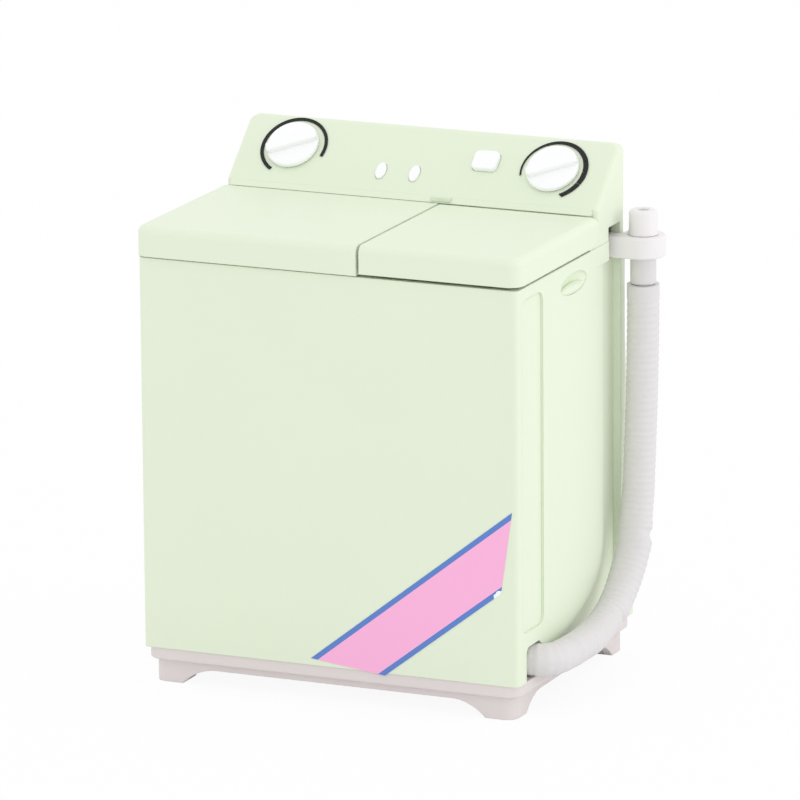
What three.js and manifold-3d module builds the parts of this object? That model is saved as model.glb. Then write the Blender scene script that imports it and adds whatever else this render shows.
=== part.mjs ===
// A dollhouse washing machine, about 1:12: a twin-tub with two hinged lids, a slanted console with
// two timer knobs, a wash tub with a pulsator, a spin tub with a basket, and a ribbed drain hose.
// Millimetres, +Z up, +Y to the back. The machine is laid out about the middle of its cabinet on the
// floor, and the group is shifted so that the origin is the bottom centre of its bounding box.
import * as THREE from "three";
import { mergeVertices } from "three/addons/utils/BufferGeometryUtils.js";
import Module from "manifold-3d";

const wasm = await Module();
wasm.setup();

// Clearances, and how far a cut runs past what it cuts.
const runningGap = 0.3;
const pinGap = 0.15;
const fitGap = 0.05;
const overcut = 5;

// Cabinet.
const bodyWidth = 56;
const bodyFront = -18.75;
const bodyBack = 22.8;
const backLean = THREE.MathUtils.degToRad(2.6);
const bodyBottom = 5;
const bodyTop = 60;
const wall = 1.4;
const rightWall = 2.1;
const cornerRound = 0.8;
const ledgeHeight = 1;
const ledgeWidth = 0.8;

// Side of the cabinet: recessed strip, rolled panel, hose channel and hand grip.
const stripFront = -17.3;
const stripBack = -9.8;
const stripBottom = 12;
const stripTop = 58.3;
const stripDepth = 0.35;
const channelFront = -15.9;
const channelSill = 10.5;
const channelRear = 13.9;
const channelTop = 57.3;
const channelDepth = 0.7;
const bendStart = -2;
const bendTop = 27;
const panelRoll = 6;
const panelRollDepth = 1.1;
const gripY = 1.1;
const gripZ = 56.9;
const gripLength = 9.2;
const gripHeight = 2.9;
const gripDepth = 0.8;

// Rear cover, a shallow pan whose back leans forward, and its screws.
const coverFront = 17.9;
const coverWall = 1.2;
const coverPillar = 1.95;
const screwSeat = 0.8;
const louvreLength = 14;
const louvreHeight = 0.9;
const louvrePitch = 2.6;
const louvreRows = 5;
const louvreX = 11;
const louvreBottom = 34;
const screwHead = 1.05;
const screwHeadHeight = 0.45;
const screwShank = 0.5;
const screwLength = 3.6;
const rearScrewLow = 14;
const rearScrewHigh = 52;
const postWidth = 3.4;
const postDepth = 4;

// Base tray.
const flangeBottom = 3.25;
const flangeInset = 0.2;
const skirtInset = 1.1;
const skirtBottom = 2.25;
const skirtWall = 1.2;
const footWidth = 4.3;
const footSweep = 4.9;
const footDraft = 0.35;
const baseScrewX = 17;
const baseScrewFront = -15.8;
const baseScrewBack = 15.9;
const baseBossHeight = 6;
const baseScrewSeat = 1.1;
const baseHoleInset = 7;
const baseHoleHalf = 11.25;
const baseHoleCorner = 3;

// Deck and tubs.
const deckThickness = 1.2;
const splitX = 4.85;
const tubWall = 0.9;
const lipWidth = 0.8;
const lipHeight = 0.5;
const washSideGap = 2.2;
const washSplitGap = 3.45;
const washFrontGap = 1.95;
const washHingeGap = 3.3;
const washCorner = 4.8;
const washFloor = 24;
const spinSideGap = 1.8;
const spinY = -5.6;
const spinRadius = 8.9;
const spinFloor = 22;
const bossRadius = 2.2;
const bossHeight = 2.5;
const shaftRadius = 0.85;
const shaftCollar = 1.7;
const shaftCollarHeight = 0.6;
const pulsatorRadius = 6.2;
const pulsatorRise = 1;
const pulsatorRim = 0.6;
const pulsatorHub = 1;
const ribHalf = 0.5;
const ribProud = 0.6;
const pulsatorRibs = 4;
const basketRadius = 7.3;
const basketWall = 0.7;
const basketHeight = 31;
const basketSlots = 6;
const basketRows = 3;
const basketSlotHeight = 6;
const basketSlotWidth = 0.8;

// Lids and their hinges.
const lidOverhang = 0.4;
const lidRise = 4.4;
const washLidGap = 0.2;
const spinLidGap = 0.5;
const lidSplitGap = 0.4;
const lidPlate = 1.2;
const lidSkirt = 1.1;
const lidRound = 1.4;
const lidCorner = 2;
const hingeY = 7.1;
const hingeDrop = 1.7;
const hingePin = 0.4;
const lugHalf = 0.8;
const lugWidth = 1.6;
const lugInset = 4;
const earWidth = 0.9;

// Console: the face leans back and starts behind the lids.
const consoleInset = 0.1;
const consoleRound = 0.8;
const consoleWall = 1.3;
const riserY = 9.9;
const faceLean = THREE.MathUtils.degToRad(48);
const faceFootY = 9.3;
const faceFootRise = 4.6;
const topRound = 1.1;
const bridgeHalf = 1.5;
const bridgeHeight = 0.55;

// Controls, placed on the console's face: x across, s up the slope from its foot.
const washDialX = -19.65;
const washDialS = 7.05;
const spinDialX = 19.55;
const spinDialS = 6.75;
const knobRadius = 3.75;
const knobHeight = 0.7;
const knobBarWidth = 1.5;
const knobBarHeight = 0.8;
const knobBarAngle = THREE.MathUtils.degToRad(25);
const knobShaftRadius = 1;
const knobShaftLength = 4.2;
const ringRadius = 5;
const ringHole = 4.45;
const ringHeight = 0.18;
const ringFrom = THREE.MathUtils.degToRad(-61);
const ringSweep = THREE.MathUtils.degToRad(257);
const lampWidth = 1.5;
const lampHeight = 2.7;
const lampS = 4.2;
const washLampX = -5.45;
const spinLampX = -0.4;
const lampProud = 0.3;
const keyWidth = 3.7;
const keyHeight = 3.2;
const keyX = 9.45;
const keyS = 7.2;
const keyProud = 0.7;
const keyEar = 0.6;
const keyEarThickness = 0.4;

// Drain: pipes inside, the hose, and the clip and spout at its upper end.
const hoseExitY = -12.6;
const hoseExitZ = 7.4;
const hoseRadius = 2.25;
const hoseValley = 2.12;
const hoseBore = 1.35;
const ribPitch = 0.95;
const cuffLength = 1.6;
const pipeRadius = 1.5;
const pipeBore = 0.8;
const washDrainX = -3;
const nippleRadius = 1.05;
const nippleReach = 3.8;
const socketRadius = 3.2;
const clipReach = 3.3;
const clipBehind = 0.2;
const clipRadius = 3.15;
const clipTop = 60.4;
const clipHeight = 3.3;
const clipArmWidth = 2.75;
const clipSlotWidth = 4.1;
const clipSlotGap = 0.2;
const clipSlotRise = 1.5;
const clipSlotDepth = 2.5;
const neckRadius = 1.75;
const stubRadius = 1.98;
const stubHeight = 3.5;
const hoseTop = 53.4;
const hoseSide = 2.45;
const socketDepth = 4.1;

// Colours.
const mint = { color: 0xdfeecf, roughness: 0.45, metalness: 0 };
const mintInside = { color: 0xd5e4c6, roughness: 0.6, metalness: 0 };
const warmGrey = { color: 0xc9bfba, roughness: 0.55, metalness: 0 };
const hoseGrey = { color: 0xd4d2d6, roughness: 0.5, metalness: 0 };
const white = { color: 0xf6f5f8, roughness: 0.35, metalness: 0 };
const black = { color: 0x16171a, roughness: 0.5, metalness: 0 };
const steel = { color: 0xb9bcc0, roughness: 0.35, metalness: 0.9 };

const bodyHalf = bodyWidth / 2;
const consoleHalf = bodyHalf - consoleInset;
const backSlope = Math.tan(backLean);
const clipX = bodyHalf + clipReach;
const clipY = coverFront + clipBehind;
const clipArmBack = coverFront - 0.2;
const clipArmFront = clipArmBack - clipArmWidth;
const clipSlotFront = coverFront - clipSlotWidth;
const clipSlotBottom = clipTop - clipHeight - clipSlotGap;
const clipSlotTop = clipTop + clipSlotRise;
const spoutTop = clipTop + stubHeight;
const lidTop = bodyTop + lidRise;
const hingeZ = lidTop - hingeDrop;
const washLidBottom = bodyTop + washLidGap;
const spinLidBottom = bodyTop + spinLidGap;
const faceFootZ = bodyTop + faceFootRise;
const deckTop = bodyTop - 0.2;
const deckBottom = deckTop - deckThickness;
const channelFloor = bodyHalf - channelDepth;
const rightInner = bodyHalf - rightWall;
const leftInner = -(bodyHalf - wall);
const frontInner = bodyFront + wall;
const lidFront = bodyFront - lidOverhang;
const lidHalf = bodyHalf + lidOverhang;
const washLeft = leftInner + washSideGap;
const washRight = splitX - washSplitGap;
const washFront = frontInner + washFrontGap;
const washBack = hingeY - washHingeGap;
const spinX = rightInner - spinRadius - spinSideGap;
const pulsatorX = (washLeft + washRight) / 2;
const pulsatorY = (washFront + washBack) / 2;
const washInnerFloor = washFloor + tubWall;
const spinInnerFloor = spinFloor + tubWall;
const leftPostX = leftInner + postWidth / 2;
const rightPostX = rightInner - postWidth / 2;
const socketBack = rightInner - socketDepth;
const hoseStart = socketBack + 0.8 + runningGap;

// A closed three.js geometry as a solid that can be joined and cut.
function solid(geometry) {
  const bare = geometry.index ? geometry.toNonIndexed() : geometry.clone();
  bare.deleteAttribute("normal");
  bare.deleteAttribute("uv");
  const merged = mergeVertices(bare, 1e-4);
  return new wasm.Manifold(
    new wasm.Mesh({
      numProp: 3,
      vertProperties: merged.attributes.position.array,
      triVerts: new Uint32Array(merged.index.array),
    }),
  );
}

function meshOf(name, body, finish) {
  const result = body.getMesh();
  const indexed = new THREE.BufferGeometry();
  indexed.setAttribute("position", new THREE.BufferAttribute(result.vertProperties, 3));
  indexed.setIndex(new THREE.BufferAttribute(result.triVerts, 1));
  const geometry = indexed.toNonIndexed();
  geometry.computeVertexNormals();
  const mesh = new THREE.Mesh(geometry, new THREE.MeshStandardMaterial(finish));
  mesh.name = name;
  return mesh;
}

// A closed outline whose corners [x, y, cut] are rounded where a cut is given.
function outline(corners) {
  const shape = new THREE.Shape();
  corners.forEach(([x, y, cut = 0], i) => {
    const corner = new THREE.Vector2(x, y);
    const towards = ([a, b]) =>
      new THREE.Vector2(a, b).sub(corner).setLength(cut).add(corner);
    const entry = cut ? towards(corners.at(i - 1)) : corner;
    if (i) shape.lineTo(entry.x, entry.y);
    else shape.moveTo(entry.x, entry.y);
    if (!cut) return;
    const exit = towards(corners[(i + 1) % corners.length]);
    shape.quadraticCurveTo(x, y, exit.x, exit.y);
  });
  return shape;
}

function rectangle(x0, x1, y0, y1, cut = 0) {
  return outline([
    [x0, y0, cut],
    [x1, y0, cut],
    [x1, y1, cut],
    [x0, y1, cut],
  ]);
}

function extruded(shape, depth, curveSegments) {
  return new THREE.ExtrudeGeometry(shape, { depth, curveSegments, bevelEnabled: false });
}

// Extrusions of a plan (x, y), a side view (y, z) and a front view (x, z).
const sideView = new THREE.Matrix4().makeBasis(
  new THREE.Vector3(0, 1, 0),
  new THREE.Vector3(0, 0, 1),
  new THREE.Vector3(1, 0, 0),
);
const frontView = new THREE.Matrix4().makeBasis(
  new THREE.Vector3(1, 0, 0),
  new THREE.Vector3(0, 0, 1),
  new THREE.Vector3(0, -1, 0),
);

function alongZ(shape, bottom, top, curveSegments = 6) {
  return solid(extruded(shape, top - bottom, curveSegments).translate(0, 0, bottom));
}

function alongX(shape, left, right, curveSegments = 6) {
  const geometry = extruded(shape, right - left, curveSegments).applyMatrix4(sideView);
  return solid(geometry.translate(left, 0, 0));
}

function alongY(shape, front, back, curveSegments = 6) {
  const geometry = extruded(shape, back - front, curveSegments).applyMatrix4(frontView);
  return solid(geometry.translate(0, back, 0));
}

function box(x0, x1, y0, y1, z0, z1) {
  const geometry = new THREE.BoxGeometry(x1 - x0, y1 - y0, z1 - z0);
  return solid(geometry.translate((x0 + x1) / 2, (y0 + y1) / 2, (z0 + z1) / 2));
}

function upright(radius, x, y, bottom, top, sides = 24) {
  const geometry = new THREE.CylinderGeometry(radius, radius, top - bottom, sides);
  return solid(geometry.rotateX(Math.PI / 2).translate(x, y, (bottom + top) / 2));
}

function across(radius, y, z, left, right, sides = 20) {
  const geometry = new THREE.CylinderGeometry(radius, radius, right - left, sides);
  return solid(geometry.rotateZ(Math.PI / 2).translate((left + right) / 2, y, z));
}

function fromFront(radius, x, z, front, back, sides = 16) {
  const geometry = new THREE.CylinderGeometry(radius, radius, back - front, sides);
  return solid(geometry.translate(x, (front + back) / 2, z));
}

function joined(...bodies) {
  return bodies.reduce((sum, body) => sum.add(body));
}

function turned(profile, sides = 32) {
  const points = profile.map(([radius, height]) => new THREE.Vector2(radius, height));
  return solid(new THREE.LatheGeometry(points, sides).rotateX(Math.PI / 2));
}

// Where the back of the rear cover and of the console stands at a given height.
function backY(z) {
  return bodyBack - (z - bodyBottom) * backSlope;
}

// The right side's panel, whose edge rolls off towards the channel for the hose. The channel runs
// low along the sill, then up behind the panel.
function rolledPanel() {
  const far = 25;
  const shape = new THREE.Shape();
  shape.moveTo(stripBack - far, channelSill);
  shape.lineTo(bendStart, channelSill);
  shape.bezierCurveTo(
    (bendStart + channelRear) / 2,
    channelSill,
    channelRear,
    (channelSill + bendTop) / 2,
    channelRear,
    bendTop,
  );
  shape.lineTo(channelRear, channelTop + far);
  shape.lineTo(stripBack - far, channelTop + far);
  const depth = channelDepth + wall;
  const geometry = new THREE.ExtrudeGeometry(shape, {
    depth,
    curveSegments: 8,
    bevelThickness: panelRollDepth,
    bevelSize: panelRoll,
    bevelOffset: -panelRoll,
    bevelSegments: 4,
  });
  geometry.applyMatrix4(sideView);
  return solid(geometry.translate(bodyHalf - depth - panelRollDepth, 0, 0));
}

function rightSideCut() {
  const clear = bodyHalf + 1;
  const behind = bodyBack + 1;
  const under = bodyBottom - 1;
  const panelZone = box(channelFloor, clear, stripBack, behind, under, channelTop);
  const exitZone = box(channelFloor, clear, channelFront, stripBack + 1, under, channelSill);
  return panelZone.subtract(rolledPanel()).add(exitZone);
}

function stripCut(side) {
  const shape = rectangle(stripFront, stripBack, stripBottom, stripTop, 1.5);
  const inner = bodyHalf - stripDepth;
  return side > 0 ? alongX(shape, inner, bodyHalf + 1) : alongX(shape, -bodyHalf - 1, -inner);
}

function ellipsoid(x, y, z, deep, long, high) {
  const geometry = new THREE.SphereGeometry(1, 20, 10).rotateX(Math.PI / 2);
  return solid(geometry.scale(deep, long / 2, high / 2).translate(x, y, z));
}

// The hand grip is an oval scoop with a lip along its lower edge.
function withGrip(body, side) {
  const scoop = ellipsoid(side * bodyHalf, gripY, gripZ, gripDepth, gripLength, gripHeight);
  const lipZ = gripZ - gripHeight / 4;
  const lipLength = gripLength * 0.85;
  const lipX = side * (bodyHalf - 0.35);
  const lip = ellipsoid(lipX, gripY, lipZ, gripDepth * 0.8, lipLength, gripHeight * 0.5);
  return body.subtract(scoop).add(lip);
}

function cavity() {
  const below = bodyBottom - 1;
  const above = bodyTop + 1;
  const behind = bodyBack + 1;
  const ledgeBottom = deckBottom - ledgeHeight;
  const lower = box(leftInner, rightInner, frontInner, behind, below, ledgeBottom);
  const ledge = box(
    leftInner + ledgeWidth,
    rightInner - ledgeWidth,
    frontInner + ledgeWidth,
    behind,
    ledgeBottom - 1,
    deckBottom + 1,
  );
  const upper = box(leftInner, rightInner, frontInner, behind, deckBottom, above);
  return joined(lower, ledge, upper);
}

function cabinetPosts() {
  const front = coverFront - postDepth;
  const high = deckBottom - ledgeHeight;
  const bossTop = bodyBottom + baseBossHeight;
  const bossOuter = baseScrewX + postWidth / 2;
  const bossInner = baseScrewX - postWidth / 2;
  const frontBack = 2 * baseScrewFront - frontInner;
  return joined(
    box(leftInner - 0.5, leftInner + postWidth, front, coverFront, bodyBottom, high),
    box(rightInner - postWidth, rightInner + 0.5, front, coverFront, bodyBottom, high),
    box(leftInner - 0.5, -bossInner, front, coverFront, bodyBottom, bossTop),
    box(bossInner, rightInner + 0.5, front, coverFront, bodyBottom, bossTop),
    box(-bossOuter, -bossInner, frontInner - 0.5, frontBack, bodyBottom, bossTop),
    box(bossInner, bossOuter, frontInner - 0.5, frontBack, bodyBottom, bossTop),
  );
}

const baseScrews = [
  [-baseScrewX, baseScrewFront],
  [baseScrewX, baseScrewFront],
  [-baseScrewX, baseScrewBack],
  [baseScrewX, baseScrewBack],
];
const rearScrews = [
  [leftPostX, rearScrewLow],
  [rightPostX, rearScrewLow],
  [leftPostX, rearScrewHigh],
  [rightPostX, rearScrewHigh],
];
const screwBore = screwShank + pinGap;

function clipSlot() {
  const inner = bodyHalf - clipSlotDepth;
  return box(inner, bodyHalf + 1, clipSlotFront, coverFront, clipSlotBottom, clipSlotTop);
}

function makeCabinet() {
  const plan = outline([
    [-bodyHalf, bodyFront, cornerRound],
    [bodyHalf, bodyFront, cornerRound],
    [bodyHalf, coverFront],
    [-bodyHalf, coverFront],
  ]);
  let body = alongZ(plan, bodyBottom, bodyTop).subtract(cavity());
  body = body.add(cabinetPosts()).subtract(rightSideCut());
  body = body.subtract(stripCut(1)).subtract(stripCut(-1)).subtract(clipSlot());
  body = withGrip(withGrip(body, 1), -1);
  const hoseHole = across(hoseRadius + 0.2, hoseExitY, hoseExitZ, rightInner - 1, bodyHalf + 1, 16);
  body = body.subtract(hoseHole);
  const screwEnd = bodyBottom + baseBossHeight - 1;
  for (const [x, y] of baseScrews) {
    body = body.subtract(upright(screwBore, x, y, bodyBottom - 1, screwEnd, 10));
  }
  for (const [x, z] of rearScrews) {
    body = body.subtract(fromFront(screwBore, x, z, coverFront - screwLength, coverFront + 1, 10));
  }
  return body;
}

// The rear cover is a pan, open to the cabinet, with a pillar for each screw.
function coverSide(inset) {
  const low = bodyBottom + inset;
  const high = bodyTop - inset;
  const front = coverFront - inset;
  return outline([
    [front, low],
    [backY(low) - inset, low],
    [backY(high) - inset, high],
    [front, high],
  ]);
}

function makeRearCover() {
  const outer = alongX(coverSide(0), -bodyHalf, bodyHalf);
  const insideHalf = bodyHalf - coverWall;
  let cover = outer.subtract(alongX(coverSide(coverWall), -insideHalf, insideHalf));
  for (const side of [-1, 1]) {
    for (let row = 0; row < louvreRows; row += 1) {
      const x = side * louvreX;
      const z = louvreBottom + row * louvrePitch;
      const half = louvreLength / 2;
      const slot = rectangle(x - half, x + half, z, z + louvreHeight, louvreHeight / 2.2);
      cover = cover.subtract(alongY(slot, coverFront - 1, bodyBack + 1, 2));
    }
  }
  for (const [x, z] of rearScrews) {
    const pillar = fromFront(coverPillar, x, z, coverFront, bodyBack, 12);
    cover = cover.add(pillar.intersect(outer));
    cover = cover.subtract(fromFront(screwBore, x, z, coverFront - 1, bodyBack + 1, 10));
    const seat = coverFront + screwSeat;
    cover = cover.subtract(fromFront(screwHead + pinGap, x, z, seat, bodyBack + 1));
  }
  return cover;
}

function makeScrew() {
  const under = -screwLength;
  return turned(
    [
      [0, under - screwHeadHeight],
      [screwHead * 0.85, under - screwHeadHeight],
      [screwHead, under - screwHeadHeight * 0.6],
      [screwHead, under],
      [screwShank, under],
      [screwShank, -screwShank],
      [0, 0],
    ],
    10,
  );
}

// Elevation of a skirt between two feet, with the feet's inner edges swept up to it.
function skirtElevation(half) {
  const foot = half - footWidth;
  const sweep = foot - footSweep;
  const top = flangeBottom + 0.5;
  const shape = new THREE.Shape();
  shape.moveTo(-half, top);
  shape.lineTo(-half, skirtBottom);
  shape.lineTo(-half + footDraft, 0);
  shape.lineTo(-foot, 0);
  shape.bezierCurveTo(-foot + 1.2, 1.4, -sweep - 1.6, skirtBottom, -sweep, skirtBottom);
  shape.lineTo(sweep, skirtBottom);
  shape.bezierCurveTo(sweep + 1.6, skirtBottom, foot - 1.2, 1.4, foot, 0);
  shape.lineTo(half - footDraft, 0);
  shape.lineTo(half, skirtBottom);
  shape.lineTo(half, top);
  return shape;
}

function makeBaseTray() {
  const middle = (bodyFront + bodyBack) / 2;
  const halfDepth = (bodyBack - bodyFront) / 2;
  const flangeHalf = bodyHalf - flangeInset;
  const flangeDepth = halfDepth - flangeInset;
  const skirtHalf = bodyHalf - skirtInset;
  const skirtDepth = halfDepth - skirtInset;
  const plan = rectangle(-flangeHalf, flangeHalf, -flangeDepth, flangeDepth, 2.2);
  const flange = alongZ(plan, flangeBottom, bodyBottom);
  const frontWall = alongY(skirtElevation(skirtHalf), -skirtDepth, -skirtDepth + skirtWall);
  const backWall = alongY(skirtElevation(skirtHalf), skirtDepth - skirtWall, skirtDepth);
  const leftWall = alongX(skirtElevation(skirtDepth), -skirtHalf, -skirtHalf + skirtWall);
  const rightWallPart = alongX(skirtElevation(skirtDepth), skirtHalf - skirtWall, skirtHalf);
  let lower = joined(frontWall, backWall, leftWall, rightWallPart);
  const blockSize = footWidth - 2 * footDraft;
  for (const sx of [-1, 1]) {
    for (const sy of [-1, 1]) {
      const x = sx * (skirtHalf - footDraft - footWidth / 2);
      const y = sy * (skirtDepth - footDraft - footWidth / 2);
      const block = new THREE.BoxGeometry(blockSize, blockSize, flangeBottom + 0.5);
      lower = lower.add(solid(block.translate(x, y, (flangeBottom + 0.5) / 2)));
    }
  }
  const skirtPlan = rectangle(-skirtHalf, skirtHalf, -skirtDepth, skirtDepth, 1.7);
  lower = lower.intersect(alongZ(skirtPlan, -1, flangeBottom + 0.5));
  const holeHalf = bodyHalf - baseHoleInset;
  const hole = rectangle(-holeHalf, holeHalf, -baseHoleHalf, baseHoleHalf, baseHoleCorner);
  let tray = flange.add(lower).translate([0, middle, 0]);
  tray = tray.subtract(alongZ(hole, -overcut, bodyBottom + overcut));
  const seat = bodyBottom - baseScrewSeat;
  for (const [x, y] of baseScrews) {
    tray = tray.subtract(upright(screwBore, x, y, -1, bodyBottom + 1, 10));
    tray = tray.subtract(upright(screwHead + pinGap, x, y, -1, seat, 14));
  }
  return tray;
}

function lugPlaces(left, right) {
  return [left + lugInset, right - lugInset];
}

const washLidLeft = -lidHalf;
const washLidRight = splitX - lidSplitGap / 2;
const spinLidLeft = splitX + lidSplitGap / 2;
const spinLidRight = lidHalf;

// A lug stands on the deck and holds the hinge pin in its rounded head.
function lug(x) {
  const shape = new THREE.Shape();
  shape.moveTo(hingeY - lugHalf, deckTop - 0.5);
  shape.lineTo(hingeY + lugHalf, deckTop - 0.5);
  shape.lineTo(hingeY + lugHalf, hingeZ);
  shape.absarc(hingeY, hingeZ, lugHalf, 0, Math.PI, false);
  return alongX(shape, x - lugWidth / 2, x + lugWidth / 2);
}

function makeTopDeck() {
  const gap = 0.2;
  const plan = rectangle(leftInner + gap, rightInner - gap, frontInner + gap, coverFront - gap);
  let deck = alongZ(plan, deckBottom, deckTop);
  const washPlan = rectangle(
    washLeft - gap,
    washRight + gap,
    washFront - gap,
    washBack + gap,
    washCorner,
  );
  deck = deck.subtract(alongZ(washPlan, deckBottom - 1, deckTop + 1, 8));
  deck = deck.subtract(upright(spinRadius + gap, spinX, spinY, deckBottom - 1, deckTop + 1, 32));
  const lugs = [
    ...lugPlaces(washLidLeft, washLidRight),
    ...lugPlaces(spinLidLeft, spinLidRight),
  ];
  for (const x of lugs) deck = deck.add(lug(x));
  const pinBore = hingePin + fitGap;
  return deck.subtract(across(pinBore, hingeY, hingeZ, -bodyHalf, bodyHalf, 12));
}

// Each tub hangs by its lip on the deck, and has a boss for its shaft and a drain nipple.
function withFloorFittings(tub, x, y, floor, drainX) {
  const boss = upright(bossRadius, x, y, floor - bossHeight, floor + 0.3, 20);
  const nipple = upright(pipeRadius, drainX, hoseExitY, floor - bossHeight, floor + 0.3, 12);
  const bore = upright(shaftRadius + pinGap, x, y, floor - bossHeight - 1, floor + tubWall + 1, 14);
  const drain = upright(pipeBore, drainX, hoseExitY, floor - bossHeight - 1, floor + tubWall + 1, 8);
  return tub.add(boss).add(nipple).subtract(bore).subtract(drain);
}

function makeWashTub() {
  const top = deckTop + lipHeight;
  const outer = rectangle(washLeft, washRight, washFront, washBack, washCorner);
  const inner = rectangle(
    washLeft + tubWall,
    washRight - tubWall,
    washFront + tubWall,
    washBack - tubWall,
    washCorner - tubWall / 2,
  );
  const lip = rectangle(
    washLeft - lipWidth,
    washRight + lipWidth,
    washFront - lipWidth,
    washBack + lipWidth,
    washCorner + lipWidth / 2,
  );
  let tub = alongZ(outer, washFloor, top, 8).add(alongZ(lip, deckTop, top, 8));
  tub = tub.subtract(alongZ(inner, washInnerFloor, top + 1, 8));
  return withFloorFittings(tub, pulsatorX, pulsatorY, washFloor, washDrainX);
}

function makeSpinTub() {
  const top = deckTop + lipHeight;
  let tub = upright(spinRadius, spinX, spinY, spinFloor, top, 32);
  tub = tub.add(upright(spinRadius + lipWidth, spinX, spinY, deckTop, top, 32));
  tub = tub.subtract(upright(spinRadius - tubWall, spinX, spinY, spinInnerFloor, top + 1, 32));
  return withFloorFittings(tub, spinX, spinY, spinFloor, spinX);
}

// A shaft with its collar below the boss and its upper end in the turning part, about its own axis.
function makeShaft(floor, end) {
  const collarTop = floor - bossHeight - runningGap;
  return turned(
    [
      [0, collarTop - shaftCollarHeight],
      [shaftCollar, collarTop - shaftCollarHeight],
      [shaftCollar, collarTop],
      [shaftRadius, collarTop],
      [shaftRadius, end],
      [0, end],
    ],
    16,
  );
}

const pulsatorBottom = washInnerFloor + 0.4;
const shaftEngage = 0.8;

// The pulsator is a shallow dome with curved ribs and a socket for its shaft.
function makePulsator() {
  const rim = pulsatorBottom + pulsatorRim;
  const ribReach = 0.93 * pulsatorRadius;
  const crown = rim + pulsatorRise;
  let disc = turned(
    [
      [0, pulsatorBottom],
      [pulsatorRadius, pulsatorBottom],
      [pulsatorRadius, rim],
      [pulsatorRadius * 0.6, rim + pulsatorRise * 0.35],
      [pulsatorRadius * 0.3, crown],
      [0, crown + 0.3],
    ],
    28,
  );
  for (let i = 0; i < pulsatorRibs; i += 1) {
    const rib = new THREE.Shape();
    rib.moveTo(pulsatorHub, -ribHalf);
    rib.quadraticCurveTo(ribReach / 2, -2.4 * ribHalf, ribReach, -0.4 * ribHalf);
    rib.lineTo(ribReach, ribHalf);
    rib.quadraticCurveTo(ribReach / 2, -0.2 * ribHalf, pulsatorHub, ribHalf);
    const blade = extruded(rib, pulsatorRise + ribProud, 5);
    blade.rotateZ((i / pulsatorRibs) * 2 * Math.PI).translate(0, 0, rim - fitGap);
    disc = disc.add(solid(blade));
  }
  const socket = upright(shaftRadius + fitGap, 0, 0, 0, pulsatorBottom + shaftEngage + fitGap, 16);
  return disc.subtract(socket);
}

const basketBottom = spinInnerFloor + 0.8;

function makeSpinBasket() {
  const inner = basketRadius - basketWall;
  const top = basketBottom + basketHeight;
  const floor = basketBottom + basketWall + 0.3;
  let basket = turned(
    [
      [0, basketBottom],
      [basketRadius - 1, basketBottom],
      [basketRadius, basketBottom + 1],
      [basketRadius, top],
      [inner - 0.5, top],
      [inner - 0.5, top - 0.8],
      [inner, top - 1.3],
      [inner, floor + 1],
      [inner - 1, floor],
      [2, floor],
      [0, floor + 1.2],
    ],
    30,
  );
  for (let row = 0; row < basketRows; row += 1) {
    const z = floor + 2.5 + row * (basketSlotHeight + 2.6);
    for (let i = 0; i < basketSlots; i += 1) {
      const geometry = new THREE.BoxGeometry(
        2 * basketRadius + 2,
        basketSlotWidth,
        basketSlotHeight,
      );
      const turn = ((i + row / 2) / basketSlots) * Math.PI;
      geometry.rotateZ(turn).translate(0, 0, z + basketSlotHeight / 2);
      basket = basket.subtract(solid(geometry));
    }
  }
  const socket = upright(shaftRadius + fitGap, 0, 0, 0, basketBottom + shaftEngage + fitGap, 16);
  return basket.subtract(socket);
}

// A lid about its hinge axis: y and z are measured from the pin. Its rear end is round about the
// pin, so that it turns clear of the console and the cabinet's rim.
function lidSideView(bottom) {
  const radius = hingeZ - bottom;
  const top = lidTop - hingeZ;
  const shape = new THREE.Shape();
  shape.moveTo(lidFront - hingeY - 2, bottom - hingeZ);
  shape.lineTo(0, -radius);
  shape.absarc(0, 0, radius, -Math.PI / 2, Math.asin(top / radius), false);
  shape.lineTo(lidFront - hingeY - 2, top);
  return shape;
}

function lidShell(left, right, bottom, roundLeft, roundRight) {
  const spare = 6;
  const front = lidFront - hingeY;
  const plan = rectangle(
    roundLeft ? left : left - spare,
    roundRight ? right : right + spare,
    front,
    spare,
    lidCorner,
  );
  const height = lidTop - bottom;
  const geometry = new THREE.ExtrudeGeometry(plan, {
    depth: height,
    curveSegments: 5,
    bevelThickness: lidRound,
    bevelSize: lidRound,
    bevelOffset: -lidRound,
    bevelSegments: 4,
  });
  geometry.translate(0, 0, bottom - hingeZ - lidRound);
  const side = alongX(lidSideView(bottom), left, right, 10);
  return solid(geometry).intersect(side);
}

function lidEar(x) {
  const shape = new THREE.Shape();
  const radius = 1.3;
  const top = lidTop - hingeZ - lidPlate / 2;
  shape.moveTo(-radius, top);
  shape.lineTo(-radius, 0);
  shape.absarc(0, 0, radius, Math.PI, 2 * Math.PI, false);
  shape.lineTo(radius, top);
  return alongX(shape, x - earWidth / 2, x + earWidth / 2);
}

function makeLid(left, right, bottom, roundLeft, roundRight) {
  const under = bottom - hingeZ - 1;
  const plateBottom = lidTop - hingeZ - lidPlate;
  const front = lidFront - hingeY + lidSkirt;
  const insideLeft = left + lidSkirt;
  const insideRight = right - lidSkirt;
  const hollow = joined(
    alongZ(rectangle(insideLeft, insideRight, front, 0, 1), under, plateBottom, 4),
    across(lugHalf + pinGap, 0, 0, insideLeft, insideRight, 20),
  );
  let lid = lidShell(left, right, bottom, roundLeft, roundRight).subtract(hollow);
  const lugs = lugPlaces(left, right);
  const half = lugWidth / 2 + runningGap;
  for (const x of lugs) {
    lid = lid.subtract(box(x - half, x + half, -1, 4, under, plateBottom + 0.65));
  }
  const earStep = half + earWidth / 2;
  lid = lid.add(lidEar(lugs[0] + earStep)).add(lidEar(lugs[1] - earStep));
  return lid.subtract(across(hingePin + pinGap, 0, 0, insideLeft, insideRight, 16));
}

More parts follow.
